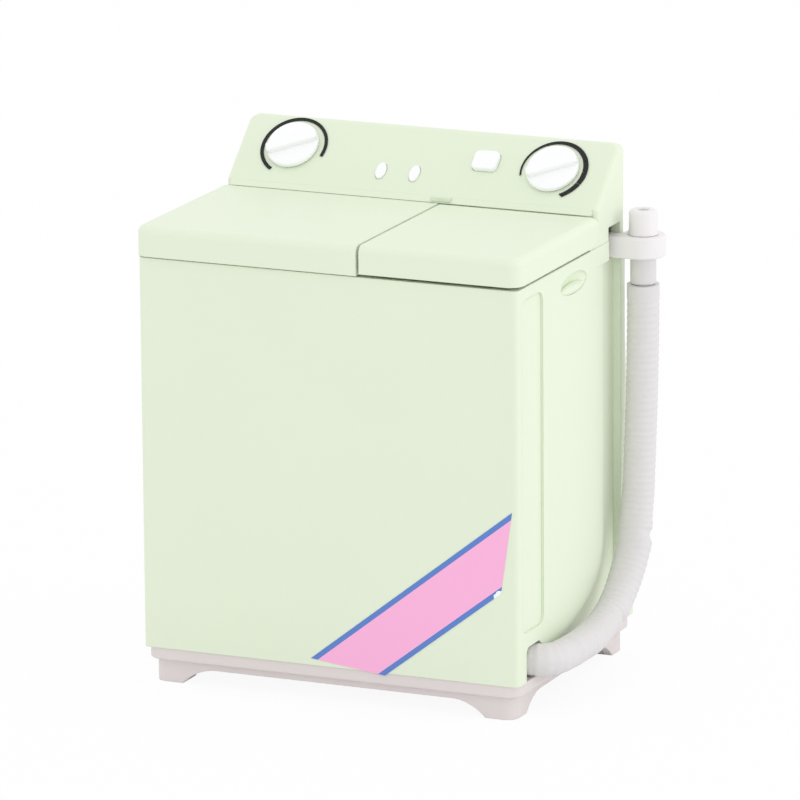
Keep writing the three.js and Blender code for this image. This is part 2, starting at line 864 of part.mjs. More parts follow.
function makeHingePin(left, right) {
  const [first, last] = lugPlaces(left, right);
  const half = lugWidth / 2;
  return across(hingePin, 0, 0, first - half, last + half, 12);
}

// Console.
const slopePerY = 1 / Math.tan(faceLean);
const faceTurn = Math.PI / 2 - faceLean;
const onFace = new THREE.Matrix4()
  .makeTranslation(0, faceFootY, faceFootZ)
  .multiply(new THREE.Matrix4().makeRotationX(faceTurn));

function slopeZ(y, inset = 0) {
  return faceFootZ + (y - faceFootY) * slopePerY - inset / Math.sin(faceLean);
}

// The console's top edge, where its face meets its back.
const faceFall = faceFootZ - faceFootY * slopePerY - bodyBottom;
const consoleBack = (bodyBack - backSlope * faceFall) / (1 + backSlope * slopePerY);

function consoleProfile(rounding) {
  return outline([
    [riserY, bodyTop - 3],
    [backY(bodyTop - 3), bodyTop - 3],
    [consoleBack, slopeZ(consoleBack), rounding],
    [riserY, slopeZ(riserY)],
  ]);
}

function consoleInside() {
  const front = riserY + consoleWall;
  const back = consoleBack - consoleWall;
  return outline([
    [front, bodyTop - 4],
    [back, bodyTop - 4],
    [back, slopeZ(back, consoleWall)],
    [front, slopeZ(front, consoleWall)],
  ]);
}

function faceHole(radius, x, s, sides = 20) {
  const depth = 2 * (consoleWall + overcut);
  const geometry = new THREE.CylinderGeometry(radius, radius, depth, sides);
  return solid(geometry.rotateX(Math.PI / 2).translate(x, s, 0).applyMatrix4(onFace));
}

function facePrism(shape, low, high) {
  const geometry = extruded(shape, high - low, 6).translate(0, 0, low);
  return solid(geometry.applyMatrix4(onFace));
}

// Below the lids' round rear ends the console's ends reach forward and follow them.
function consoleWedge(side, bottom) {
  const outer = side * consoleHalf;
  const inner = side * (consoleHalf - 1.2);
  const shape = rectangle(hingeY, riserY + 0.5, bodyTop, hingeZ);
  const block = alongX(shape, Math.min(outer, inner), Math.max(outer, inner));
  const sweep = hingeZ - bottom + runningGap;
  return block.subtract(across(sweep, hingeY, hingeZ, -bodyHalf - 1, bodyHalf + 1, 48));
}

function oval(width, height, x, y) {
  const shape = new THREE.Shape();
  shape.absellipse(x, y, width / 2, height / 2, 0, 2 * Math.PI, false, 0);
  return shape;
}

function centredRectangle(width, height, x, y, cut) {
  return rectangle(x - width / 2, x + width / 2, y - height / 2, y + height / 2, cut);
}

function makeConsole() {
  const geometry = new THREE.ExtrudeGeometry(consoleProfile(0), {
    depth: 2 * (consoleHalf - consoleRound),
    curveSegments: 6,
    bevelThickness: consoleRound,
    bevelSize: consoleRound,
    bevelOffset: -consoleRound,
    bevelSegments: 3,
  });
  geometry.applyMatrix4(sideView).translate(-consoleHalf + consoleRound, 0, 0);
  const rounded = alongX(consoleProfile(topRound), -consoleHalf, consoleHalf);
  const below = box(
    -bodyHalf - overcut,
    bodyHalf + overcut,
    riserY - overcut,
    bodyBack + overcut,
    bodyTop - overcut,
    bodyTop,
  );
  let body = solid(geometry).intersect(rounded).subtract(below);
  const insideHalf = consoleHalf - consoleWall;
  body = body.subtract(alongX(consoleInside(), -insideHalf, insideHalf));
  body = body.add(consoleWedge(-1, washLidBottom)).add(consoleWedge(1, spinLidBottom));
  const lipEnd = consoleHalf - consoleRound;
  const bridgeBottom = lidTop + 0.2;
  const bridge = box(
    splitX - bridgeHalf,
    splitX + bridgeHalf,
    riserY - 0.75,
    riserY + 0.5,
    bridgeBottom,
    bridgeBottom + bridgeHeight,
  );
  const lip = outline([
    [riserY + 0.3, faceFootZ],
    [riserY + 0.3, slopeZ(riserY + 0.3)],
    [faceFootY, faceFootZ],
  ]);
  body = body.add(bridge).add(alongX(lip, -lipEnd, lipEnd)).subtract(clipSlot());
  const shaftHole = knobShaftRadius + pinGap;
  body = body.subtract(faceHole(shaftHole, washDialX, washDialS));
  body = body.subtract(faceHole(shaftHole, spinDialX, spinDialS));
  for (const x of [washLampX, spinLampX]) {
    const hole = oval(lampWidth + 2 * fitGap, lampHeight + 2 * fitGap, x, lampS);
    body = body.subtract(facePrism(hole, -4, 2));
  }
  const keyHole = centredRectangle(keyWidth + 2 * pinGap, keyHeight + 2 * pinGap, keyX, keyS, 0.8);
  return body.subtract(facePrism(keyHole, -4, 2));
}

// A timer knob about its own axis, which is the normal of the console's face.
function makeKnob() {
  const base = runningGap / 2;
  const top = base + knobHeight;
  let knob = turned(
    [
      [0, base],
      [knobRadius, base],
      [knobRadius, top - 0.25],
      [knobRadius - 0.3, top],
      [0, top + 0.1],
    ],
    30,
  );
  const bar = new THREE.ExtrudeGeometry(
    centredRectangle(2 * knobRadius - 0.2, knobBarWidth, 0, 0, 0.4),
    {
      depth: knobBarHeight - 0.25,
      curveSegments: 4,
      bevelThickness: 0.25,
      bevelSize: 0.25,
      bevelOffset: -0.25,
      bevelSegments: 2,
    },
  );
  knob = knob.add(solid(bar.translate(0, 0, top)));
  const socket = upright(knobShaftRadius + fitGap, 0, 0, base - 1, top - fitGap, 16);
  return knob.subtract(socket);
}

function makeKnobShaft() {
  const end = runningGap / 2 + knobHeight - 2 * fitGap;
  const collar = -consoleWall - runningGap;
  return turned(
    [
      [0, end - knobShaftLength],
      [knobShaftRadius, end - knobShaftLength],
      [knobShaftRadius, collar - 0.7],
      [knobShaftRadius + 0.7, collar - 0.7],
      [knobShaftRadius + 0.7, collar],
      [knobShaftRadius, collar],
      [knobShaftRadius, end],
      [0, end],
    ],
    16,
  );
}

// A crescent open below: widest on one side and thin at its ends, as printed round the knobs.
function makeDialRing(mirror, shift) {
  const shape = new THREE.Shape();
  shape.absarc(0, 0, ringRadius, ringFrom, ringFrom + ringSweep, false);
  shape.absarc(-shift, 0, ringHole, ringFrom + ringSweep, ringFrom, true);
  const geometry = extruded(shape, ringHeight, 20);
  if (mirror) geometry.rotateY(Math.PI).translate(0, 0, ringHeight);
  return solid(geometry.translate(0, 0, fitGap));
}

function makeLamp() {
  const geometry = new THREE.ExtrudeGeometry(oval(lampWidth, lampHeight, 0, 0), {
    depth: consoleWall + lampProud - 0.3,
    curveSegments: 10,
    bevelThickness: 0.15,
    bevelSize: 0.15,
    bevelOffset: -0.15,
    bevelSegments: 2,
  });
  return solid(geometry.translate(0, 0, -consoleWall + 0.15));
}

// The key's ears behind the console's wall keep it from falling out.
function makeKey() {
  const cap = new THREE.ExtrudeGeometry(centredRectangle(keyWidth, keyHeight, 0, 0, 0.8), {
    depth: consoleWall + keyProud,
    curveSegments: 5,
    bevelThickness: 0.25,
    bevelSize: 0.25,
    bevelOffset: -0.25,
    bevelSegments: 2,
  });
  cap.translate(0, 0, -consoleWall - 0.25);
  const earTop = -consoleWall - fitGap;
  const plate = centredRectangle(keyWidth + 2 * keyEar, keyHeight - 2 * pinGap, 0, 0, 0.5);
  const ears = extruded(plate, keyEarThickness, 3).translate(0, 0, earTop - keyEarThickness);
  return solid(cap).add(solid(ears));
}

// Pipes from both tubs to the socket behind the hose's hole.
function makeDrainPipes() {
  const spout = hoseStart + nippleReach;
  const z = hoseExitZ;
  const y = hoseExitY;
  const risers = [
    [washDrainX, washFloor],
    [spinX, spinFloor],
  ];
  let pipes = across(pipeRadius, y, z, washDrainX - pipeRadius, socketBack + 0.5, 14);
  let bores = across(pipeBore, y, z, washDrainX, socketBack + 1.5, 8);
  for (const [x, floor] of risers) {
    pipes = pipes.add(upright(pipeRadius, x, y, z, floor - bossHeight, 12));
    bores = bores.add(upright(pipeBore, x, y, z, floor, 8));
  }
  const socketFloor = socketBack + 0.8;
  pipes = pipes.add(across(socketRadius, y, z, socketBack, rightInner, 24));
  pipes = pipes.subtract(across(hoseRadius + runningGap, y, z, socketFloor, rightInner + 1, 20));
  pipes = pipes.add(across(nippleRadius, y, z, socketBack, spout, 12));
  bores = bores.add(across(pipeBore, y, z, socketBack, spout + 1, 8));
  const trayClear = box(-bodyHalf, bodyHalf, y - overcut, y + overcut, 0, bodyBottom + fitGap);
  return pipes.subtract(bores).subtract(trayClear);
}

function makeHoseClip() {
  const bottom = clipTop - clipHeight;
  const inner = bodyHalf - clipSlotDepth + 0.2;
  let clip = box(inner, clipX, clipArmFront, clipArmBack, bottom, clipTop);
  clip = clip.add(upright(clipRadius, clipX, clipY, bottom, clipTop, 32));
  return clip.subtract(upright(neckRadius + pinGap, clipX, clipY, bottom - 1, clipTop + 1, 24));
}

// The spout's nipple goes down into the hose, its neck through the clip's ring.
function makeHoseSpout() {
  const collar = clipTop + fitGap;
  const spout = turned(
    [
      [0, hoseTop - nippleReach],
      [nippleRadius, hoseTop - nippleReach],
      [nippleRadius, hoseTop + runningGap],
      [neckRadius, hoseTop + runningGap],
      [neckRadius, collar],
      [stubRadius + 0.15, collar],
      [stubRadius, collar + 0.6],
      [stubRadius, spoutTop - 0.8],
      [stubRadius - 0.25, spoutTop - 0.25],
      [stubRadius - 0.8, spoutTop],
      [0, spoutTop],
    ],
    24,
  );
  const mouth = upright(pipeBore, 0, 0, hoseTop - nippleReach - 1, spoutTop - 1.2, 8);
  return spout.subtract(mouth);
}

// The hose's middle line: straight out of the cabinet, round to the back along the sill, up the
// rear corner and straight into the clip.
const runX = bodyHalf + hoseSide;
const hoseRoute = [
  [hoseStart, hoseExitY, hoseExitZ],
  [hoseStart + 1.5, hoseExitY, hoseExitZ],
  [hoseStart + 3, hoseExitY, hoseExitZ],
  [hoseStart + 4.2, hoseExitY + 0.1, hoseExitZ],
  [bodyHalf + 0.9, hoseExitY + 0.7, hoseExitZ - 0.05],
  [runX - 0.4, hoseExitY + 2.3, hoseExitZ - 0.1],
  [runX - 0.1, hoseExitY + 5.1, hoseExitZ - 0.15],
  [runX, -3.5, hoseExitZ - 0.2],
  [runX + 0.05, 1, hoseExitZ],
  [runX + 0.15, 5, hoseExitZ + 0.8],
  [runX + 0.35, clipY - 9.8, hoseExitZ + 2.3],
  [runX + 0.55, clipY - 7.3, hoseExitZ + 4.4],
  [runX + 0.7, clipY - 5.2, hoseExitZ + 6.8],
  [runX + 0.8, clipY - 3.5, hoseExitZ + 9.6],
  [clipX - 0.3, clipY - 2.2, hoseExitZ + 12.8],
  [clipX - 0.25, clipY - 1.3, hoseExitZ + 16.6],
  [clipX - 0.2, clipY - 0.7, hoseTop - 23],
  [clipX - 0.1, clipY - 0.3, hoseTop - 16],
  [clipX - 0.05, clipY - 0.1, hoseTop - 10],
  [clipX, clipY, hoseTop - 4.2],
  [clipX, clipY, hoseTop - 2],
  [clipX, clipY, hoseTop],
].map((point) => new THREE.Vector3(...point));

// Rings of points round a curve, each at its own distance along it and with its own radius.
function ringsAlong(curve, length, stations, sides) {
  const samples = 400;
  const frames = curve.computeFrenetFrames(samples, false);
  const points = [];
  for (const [distance, radius] of stations) {
    const share = Math.min(Math.max(distance / length, 0), 1);
    const centre = curve.getPointAt(share);
    const index = Math.round(share * samples);
    for (let i = 0; i < sides; i += 1) {
      const angle = (i / sides) * 2 * Math.PI;
      const offset = frames.normals[index]
        .clone()
        .multiplyScalar(Math.cos(angle) * radius)
        .addScaledVector(frames.binormals[index], Math.sin(angle) * radius);
      points.push(centre.clone().add(offset));
    }
  }
  return points;
}

function stripFaces(start, rings, sides, outward) {
  const faces = [];
  for (let ring = 0; ring < rings - 1; ring += 1) {
    for (let i = 0; i < sides; i += 1) {
      const a = start + ring * sides + i;
      const b = start + ring * sides + ((i + 1) % sides);
      const quad = [a, b, b + sides, a, b + sides, a + sides];
      faces.push(...(outward ? quad : quad.reverse()));
    }
  }
  return faces;
}

// The ribbed hose: a crest and a valley ring for each rib, smooth cuffs at both ends, and a bore.
function makeDrainHose() {
  const sides = 8;
  const curve = new THREE.CatmullRomCurve3(hoseRoute, false, "centripetal");
  curve.arcLengthDivisions = 600;
  const length = curve.getLength();
  const ribs = Math.floor((length - 2 * cuffLength) / ribPitch);
  const start = (length - ribs * ribPitch) / 2;
  const outer = [
    [0, hoseRadius],
    [start - ribPitch / 4, hoseRadius],
  ];
  for (let rib = 0; rib < ribs; rib += 1) {
    outer.push([start + (rib + 0.25) * ribPitch, hoseValley]);
    outer.push([start + (rib + 0.75) * ribPitch, hoseRadius]);
  }
  outer.push([length, hoseRadius]);
  const boreRings = Math.ceil(ribs / 5) + 1;
  const bore = Array.from({ length: boreRings }, (_, i) => [
    (i / (boreRings - 1)) * length,
    hoseBore,
  ]);
  const points = [
    ...ringsAlong(curve, length, outer, sides),
    ...ringsAlong(curve, length, bore, sides),
  ];
  const boreStart = outer.length * sides;
  const faces = [
    ...stripFaces(0, outer.length, sides, true),
    ...stripFaces(boreStart, bore.length, sides, false),
  ];
  const outerEnd = (outer.length - 1) * sides;
  const boreEnd = boreStart + (bore.length - 1) * sides;
  for (let i = 0; i < sides; i += 1) {
    const next = (i + 1) % sides;
    faces.push(next, i, boreStart + i, next, boreStart + i, boreStart + next);
    faces.push(outerEnd + i, outerEnd + next, boreEnd + i);
    faces.push(outerEnd + next, boreEnd + next, boreEnd + i);
  }
  const geometry = new THREE.BufferGeometry().setFromPoints(points);
  geometry.setIndex(faces);
  return solid(geometry);
}

// Assembly.
const machine = new THREE.Group();

function place(parent, name, body, finish, x = 0, y = 0, z = 0) {
  const mesh = meshOf(name, body, finish);
  mesh.position.set(x, y, z);
  parent.add(mesh);
  return mesh;
}

place(machine, "cabinet", makeCabinet(), mint);
place(machine, "rear_cover", makeRearCover(), mint);
place(machine, "base_tray", makeBaseTray(), warmGrey);

const screwBody = makeScrew();
rearScrews.forEach(([x, z], i) => {
  const end = coverFront + screwSeat - screwLength;
  const screw = place(machine, `rear_screw_${i + 1}`, screwBody, steel, x, end, z);
  screw.rotation.x = Math.PI / 2;
});
baseScrews.forEach(([x, y], i) => {
  const end = bodyBottom - baseScrewSeat + screwLength;
  place(machine, `base_screw_${i + 1}`, screwBody, steel, x, y, end);
});

place(machine, "top_deck", makeTopDeck(), mintInside);
place(machine, "wash_tub", makeWashTub(), white);
place(machine, "spin_tub", makeSpinTub(), white);
place(machine, "drain_pipes", makeDrainPipes(), hoseGrey);

const pulsatorGroup = new THREE.Group();
pulsatorGroup.position.set(pulsatorX, pulsatorY, 0);
place(pulsatorGroup, "pulsator", makePulsator(), mint);
place(pulsatorGroup, "pulsator_shaft", makeShaft(washFloor, pulsatorBottom + shaftEngage), steel);
machine.add(pulsatorGroup);

const basketGroup = new THREE.Group();
basketGroup.position.set(spinX, spinY, 0);
place(basketGroup, "spin_basket", makeSpinBasket(), white);
place(basketGroup, "spin_shaft", makeShaft(spinFloor, basketBottom + shaftEngage), steel);
machine.add(basketGroup);

const hinge = new THREE.Group();
hinge.position.set(0, hingeY, hingeZ);
const washLid = makeLid(washLidLeft, washLidRight, washLidBottom, true, false);
place(hinge, "wash_lid", washLid, mint);
const spinLid = makeLid(spinLidLeft, spinLidRight, spinLidBottom, false, true);
place(hinge, "spin_lid", spinLid, mint);
place(hinge, "wash_hinge_pin", makeHingePin(washLidLeft, washLidRight), steel);
place(hinge, "spin_hinge_pin", makeHingePin(spinLidLeft, spinLidRight), steel);
machine.add(hinge);

place(machine, "console", makeConsole(), mint);

const face = new THREE.Group();
face.position.set(0, faceFootY, faceFootZ);
face.rotation.x = faceTurn;
const dials = [
  ["wash", washDialX, washDialS, true, 0.12],
  ["spin", spinDialX, spinDialS, false, 0.25],
];
for (const [name, x, s, mirror, shift] of dials) {
  const knob = place(face, `${name}_timer_knob`, makeKnob(), white, x, s, 0);
  knob.rotation.z = knobBarAngle;
  place(face, `${name}_timer_shaft`, makeKnobShaft(), white, x, s, 0);
  place(face, `${name}_dial_ring`, makeDialRing(mirror, shift), black, x, s, 0);
}
place(face, "wash_lamp", makeLamp(), white, washLampX, lampS, 0);
place(face, "spin_lamp", makeLamp(), white, spinLampX, lampS, 0);
place(face, "selector_key", makeKey(), white, keyX, keyS, 0);
machine.add(face);

place(machine, "hose_clip", makeHoseClip(), hoseGrey);
place(machine, "hose_spout", makeHoseSpout(), hoseGrey, clipX, clipY, 0);
place(machine, "drain_hose", makeDrainHose(), hoseGrey);

// The origin is the bottom centre of the bounding box: the lids reach furthest left and forward,
// the clip furthest right, and the foot of the rear cover furthest back.
const middleX = (clipX + clipRadius - lidHalf) / 2;
const middleY = (bodyBack + lidFront) / 2;
machine.position.set(-middleX, -middleY, 0);

const part = new THREE.Group();
part.add(machine);

export default part;
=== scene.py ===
import math

import bmesh
import bpy
from mathutils import Matrix, Vector


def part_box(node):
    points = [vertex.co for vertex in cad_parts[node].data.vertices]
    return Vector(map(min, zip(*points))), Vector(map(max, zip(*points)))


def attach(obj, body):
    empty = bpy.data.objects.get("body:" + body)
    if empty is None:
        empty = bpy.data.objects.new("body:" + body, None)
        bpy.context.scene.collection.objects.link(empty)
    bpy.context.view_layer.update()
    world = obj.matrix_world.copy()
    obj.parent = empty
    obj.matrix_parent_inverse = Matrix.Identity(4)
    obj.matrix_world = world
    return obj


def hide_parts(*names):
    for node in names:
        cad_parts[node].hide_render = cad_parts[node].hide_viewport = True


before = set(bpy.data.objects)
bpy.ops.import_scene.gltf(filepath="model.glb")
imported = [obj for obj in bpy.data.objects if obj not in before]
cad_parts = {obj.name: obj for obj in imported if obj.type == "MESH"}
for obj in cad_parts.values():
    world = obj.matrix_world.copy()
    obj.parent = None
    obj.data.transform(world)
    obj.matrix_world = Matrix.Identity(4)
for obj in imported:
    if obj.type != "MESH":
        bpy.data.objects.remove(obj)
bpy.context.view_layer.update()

mm = 0.001

# Pieces are made about the cabinet's middle line, in millimetres, and then put in the frame. The
# rear cover's box gives that line its place.
body_back = 22.8
cover_low, cover_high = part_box("rear_cover")
middle = Vector(((cover_low.x + cover_high.x) / 2, cover_high.y - body_back * mm, 0))

# Camera: a long lens that looks from the front right and a little above.
view_azimuth, view_height, view_roll = 23.726, 14.05, -0.447
view_turn = (
    Matrix.Rotation(math.radians(view_azimuth), 4, "Z")
    @ Matrix.Rotation(math.radians(90 - view_height), 4, "X")
    @ Matrix.Rotation(math.radians(view_roll), 4, "Z")
)
view_target = middle + Vector((2.594, 0, 38.434)) * mm
view_distance = 1100.75 * mm
bpy.ops.object.camera_add(
    location=view_target + view_turn @ Vector((0, 0, view_distance)),
    rotation=view_turn.to_euler(),
)
camera = bpy.context.active_object
camera.data.sensor_width = 36
camera.data.lens = 360.79
bpy.context.scene.camera = camera
bpy.context.scene.view_settings.view_transform = "Standard"


# Stage: a white floor that keeps a faint shadow, even white surroundings as in a light tent, and a
# soft lamp on the machine's right, a little behind it.
class Signal:
    """A number that varies over a surface. Arithmetic on it adds Math nodes."""

    def __init__(self, finish, socket):
        self.finish = finish
        self.socket = socket

    def worked(self, operation, first, second):
        node = self.finish.node("ShaderNodeMath", {"operation": operation}, {0: first, 1: second})
        return Signal(self.finish, node.outputs[0])

    def __add__(self, other):
        return self.worked("ADD", self, other)

    def __sub__(self, other):
        return self.worked("SUBTRACT", self, other)

    def __rsub__(self, other):
        return self.worked("SUBTRACT", other, self)

    def __mul__(self, other):
        return self.worked("MULTIPLY", self, other)

    def __gt__(self, other):
        return self.worked("GREATER_THAN", self, other)

    __radd__ = __add__
    __rmul__ = __mul__


class Finish:
    """The nodes of a material or of the world."""

    def __init__(self, owner):
        owner.use_nodes = True
        self.owner = owner
        self.nodes = owner.node_tree.nodes
        self.links = owner.node_tree.links

    def feed(self, socket, value):
        if isinstance(value, Signal):
            value = value.socket
        if isinstance(value, bpy.types.NodeSocket):
            self.links.new(value, socket)
        else:
            socket.default_value = value

    def node(self, kind, settings=None, inputs=None):
        """A node of a kind, with its settings made first and then its sockets' values or links."""
        made = self.nodes.new(kind)
        for name, value in (settings or {}).items():
            setattr(made, name, value)
        for name, value in (inputs or {}).items():
            self.feed(made.inputs[name], value)
        return made

    def signal(self, kind, output, settings=None, inputs=None):
        return Signal(self, self.node(kind, settings, inputs).outputs[output])

    def mixed(self, share, first, second):
        """A colour between two."""
        inputs = {0: share, 6: first, 7: second}
        node = self.node("ShaderNodeMix", {"data_type": "RGBA"}, inputs)
        return node.outputs[2]


def paint(red, green, blue):
    """A colour as it is read off a screen, from 0 to 255, turned into light."""
    parts = [part / 255 for part in (red, green, blue)]
    light = [p / 12.92 if p <= 0.04045 else ((p + 0.055) / 1.055) ** 2.4 for p in parts]
    return (*light, 1)


def bare_rays(finish):
    """1 where the camera or a mirror-like surface looks straight at it, otherwise 0."""
    path = finish.node("ShaderNodeLightPath")
    seen = Signal(finish, path.outputs["Is Camera Ray"])
    mirrored = Signal(finish, path.outputs["Is Glossy Ray"])
    through = Signal(finish, path.outputs["Is Transmission Ray"])
    return seen, mirrored + through


def surroundings(ambient):
    world = bpy.data.worlds.new("surroundings")
    bpy.context.scene.world = world
    sky = Finish(world)
    seen, mirrored = bare_rays(sky)
    direct = seen + mirrored
    strength = direct + (1 - direct) * ambient
    background = sky.nodes["Background"]
    sky.feed(background.inputs["Color"], (1, 1, 1, 1))
    sky.feed(background.inputs["Strength"], strength)


def floor_finish(whiteness):
    """Mostly bare white to the camera, so that only a trace of a shadow shows."""
    finish = Finish(bpy.data.materials.new("floor_white"))
    finish.nodes.remove(finish.nodes["Principled BSDF"])
    seen, mirrored = bare_rays(finish)
    matt = finish.node("ShaderNodeBsdfDiffuse", None, {"Color": (0.92, 0.92, 0.92, 1)})
    white = finish.node("ShaderNodeEmission", None, {"Color": (1, 1, 1, 1), "Strength": 1.0})
    share = seen * whiteness + mirrored
    inputs = {0: share, 1: matt.outputs[0], 2: white.outputs[0]}
    shader = finish.node("ShaderNodeMixShader", None, inputs)
    finish.feed(finish.nodes["Material Output"].inputs["Surface"], shader.outputs[0])
    return finish.owner


def softbox(name, place, size, power):
    """A square soft lamp, its sizes in metres, aimed at the middle of the machine."""
    aim = (Vector(place) - view_target).to_track_quat("Z", "Y").to_euler()
    bpy.ops.object.light_add(type="AREA", location=place, rotation=aim)
    lamp = bpy.context.active_object
    lamp.name = name
    lamp.data.size = size
    lamp.data.energy = power


surroundings(1.03)
softbox("side_lamp", (1.1, 0.25, 0.2), 0.6, 1.7)
bpy.ops.mesh.primitive_plane_add(size=8, location=(0, 0, 0))
floor = bpy.context.active_object
floor.name = "floor"
floor.data.materials.append(floor_finish(0.93))

# Cabinet: one moulded shell of mint-green plastic, open behind, with square front corners. Each
# side has a shallow upright strip and an oval grip. The right side's panel rolls off into the
# channel that the drain hose lies in.
body_half, body_front = 28, -18.75
body_bottom, body_top = 5, 60
cover_front = 17.9
left_inner, right_inner = -26.6, 25.9
front_inner = -17.35


def deselect():
    bpy.ops.object.select_all(action="DESELECT")


def work_on(piece):
    deselect()
    piece.select_set(True)
    bpy.context.view_layer.objects.active = piece


def spread(axis, u, v, w):
    """A point from two measures across an axis and one along it, in millimetres."""
    return Vector({"x": (w, u, v), "y": (u, w, v), "z": (u, v, w)}[axis]) * mm


def rounded(corners, steps=8):
    """An outline of corners (u, v, radius), with an arc in place of each corner that has one."""
    points = []
    for i, (u, v, radius) in enumerate(corners):
        corner = Vector((u, v))
        if radius == 0:
            points.append((u, v))
            continue
        before = (Vector(corners[i - 1][:2]) - corner).normalized()
        after = (Vector(corners[(i + 1) % len(corners)][:2]) - corner).normalized()
        half = before.angle(after) / 2
        centre = corner + (before + after).normalized() * (radius / math.sin(half))
        first = corner + before * (radius / math.tan(half)) - centre
        last = corner + after * (radius / math.tan(half)) - centre
        sweep = math.atan2(first.x * last.y - first.y * last.x, first.dot(last))
        start = math.atan2(first.y, first.x)
        for step in range(steps + 1):
            angle = start + sweep * step / steps
            out = radius * math.cos(angle), radius * math.sin(angle)
            points.append((centre.x + out[0], centre.y + out[1]))
    return points


def rectangle(u0, u1, v0, v1, radius=0, steps=8):
    return rounded([(u0, v0, radius), (u1, v0, radius), (u1, v1, radius), (u0, v1, radius)], steps)


def disc(u, v, radius, sides=48):
    angles = [2 * math.pi * i / sides for i in range(sides)]
    return [(u + radius * math.cos(a), v + radius * math.sin(a)) for a in angles]


def prism(name, axis, corners, start, end):
    """A flat outline in millimetres, pushed out along an axis from start to end."""
    deselect()
    bpy.ops.mesh.primitive_circle_add(vertices=len(corners), radius=mm, fill_type="NGON")
    piece = bpy.context.active_object
    piece.name = name
    for vertex, (u, v) in zip(piece.data.vertices, corners):
        vertex.co = spread(axis, u, v, start)
    bpy.ops.object.mode_set(mode="EDIT")
    bpy.ops.mesh.select_all(action="SELECT")
    bpy.ops.mesh.extrude_region_move(
        TRANSFORM_OT_translate={"value": spread(axis, 0, 0, end - start)}
    )
    bpy.ops.mesh.select_all(action="SELECT")
    bpy.ops.mesh.normals_make_consistent(inside=False)
    bpy.ops.object.mode_set(mode="OBJECT")
    return piece


def block(x0, x1, y0, y1, z0, z1):
    return prism("block", "z", rectangle(x0, x1, y0, y1), z0, z1)


def choose(piece, *tests):
    """Edit mode, with the edges selected whose two ends, in millimetres, both pass one test."""
    work_on(piece)
    bpy.ops.object.mode_set(mode="EDIT")
    bpy.ops.mesh.select_mode(type="EDGE")
    bpy.ops.mesh.select_all(action="DESELECT")
    shape = bmesh.from_edit_mesh(piece.data)
    for edge in shape.edges:
        ends = [end.co / mm for end in edge.verts]
        if any(all(test(*end) for end in ends) for test in tests):
            edge.select_set(True)
    bmesh.update_edit_mesh(piece.data)


def round_edges(piece, radius, segments, *tests):
    choose(piece, *tests)
    bpy.ops.mesh.bevel(offset=radius * mm, segments=segments, affect="EDGES")
    bpy.ops.object.mode_set(mode="OBJECT")
    return piece


def near(value, other):
    return abs(value - other) < 0.002


def carve(piece, cutter, operation="DIFFERENCE"):
    """Takes the cutter away from a piece, or joins or crosses the two."""
    work_on(piece)
    bpy.ops.object.modifier_add(type="BOOLEAN")
    change = piece.modifiers[-1]
    change.object = cutter
    change.operation = operation
    change.solver = "EXACT"
    bpy.ops.object.modifier_apply(modifier=change.name)
    bpy.data.objects.remove(cutter)
    return piece


def moved(piece, shift):
    """The same piece, its place changed by a shift in millimetres or by a matrix."""
    matrix = shift if isinstance(shift, Matrix) else Matrix.Translation(Vector(shift) * mm)
    piece.data.transform(matrix)
    return piece


def settle(piece, material, body, nodes, angle=32, flat_from=30):
    """The finished piece is put in the frame, shaded and said to stand for its nodes. Its faces
    are smooth up to an edge angle in degrees, and flat from an area in square millimetres on."""
    moved(piece, middle / mm)
    work_on(piece)
    bpy.ops.object.shade_smooth_by_angle(angle=math.radians(angle))
    for face in piece.data.polygons:
        face.use_smooth = face.area < flat_from * mm * mm
    bpy.ops.object.modifier_add(type="WEIGHTED_NORMAL")
    piece.modifiers[-1].keep_sharp = True
    bpy.ops.object.modifier_apply(modifier=piece.modifiers[-1].name)
    piece.data.materials.clear()
    piece.data.materials.append(material)
    if nodes:
        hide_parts(*nodes)
    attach(piece, body)


def moulded(name, colour, roughness, mottle=0.03, grain=0.35, softness=0.16):
    """Moulded plastic: faint clouds and specks in its colour, uneven gloss, a fine skin that
    isn't quite flat, and edges that are softened by the tool, their radius in millimetres."""
    finish = Finish(bpy.data.materials.new(name))
    shader = finish.nodes["Principled BSDF"]
    place = finish.node("ShaderNodeTexCoord").outputs["Object"]

    def noise(scale, detail):
        inputs = {"Vector": place, "Scale": scale, "Detail": detail, "Roughness": 0.55}
        return finish.signal("ShaderNodeTexNoise", 0, None, inputs)

    clouds = noise(55, 3)
    specks = noise(1400, 2)
    skin = noise(2600, 2)
    tone = 1 + (clouds - 0.5) * mottle + (specks - 0.5) * (mottle * 0.4)
    inputs = {0: colour[:3], "Scale": tone}
    shade = finish.node("ShaderNodeVectorMath", {"operation": "SCALE"}, inputs)
    finish.feed(shader.inputs["Base Color"], shade.outputs[0])
    gloss = roughness + (clouds - 0.5) * 0.12 + (specks - 0.5) * 0.08
    finish.feed(shader.inputs["Roughness"], gloss)
    soft = finish.node("ShaderNodeBevel", {"samples": 6}, {"Radius": softness * mm})
    inputs = {"Strength": grain, "Distance": 0.006 * mm, "Height": skin, "Normal": soft.outputs[0]}
    bump = finish.node("ShaderNodeBump", None, inputs)
    finish.feed(shader.inputs["Normal"], bump.outputs[0])
    return finish.owner


mint_plastic = moulded("mint_plastic", paint(229, 239, 216), 0.42)


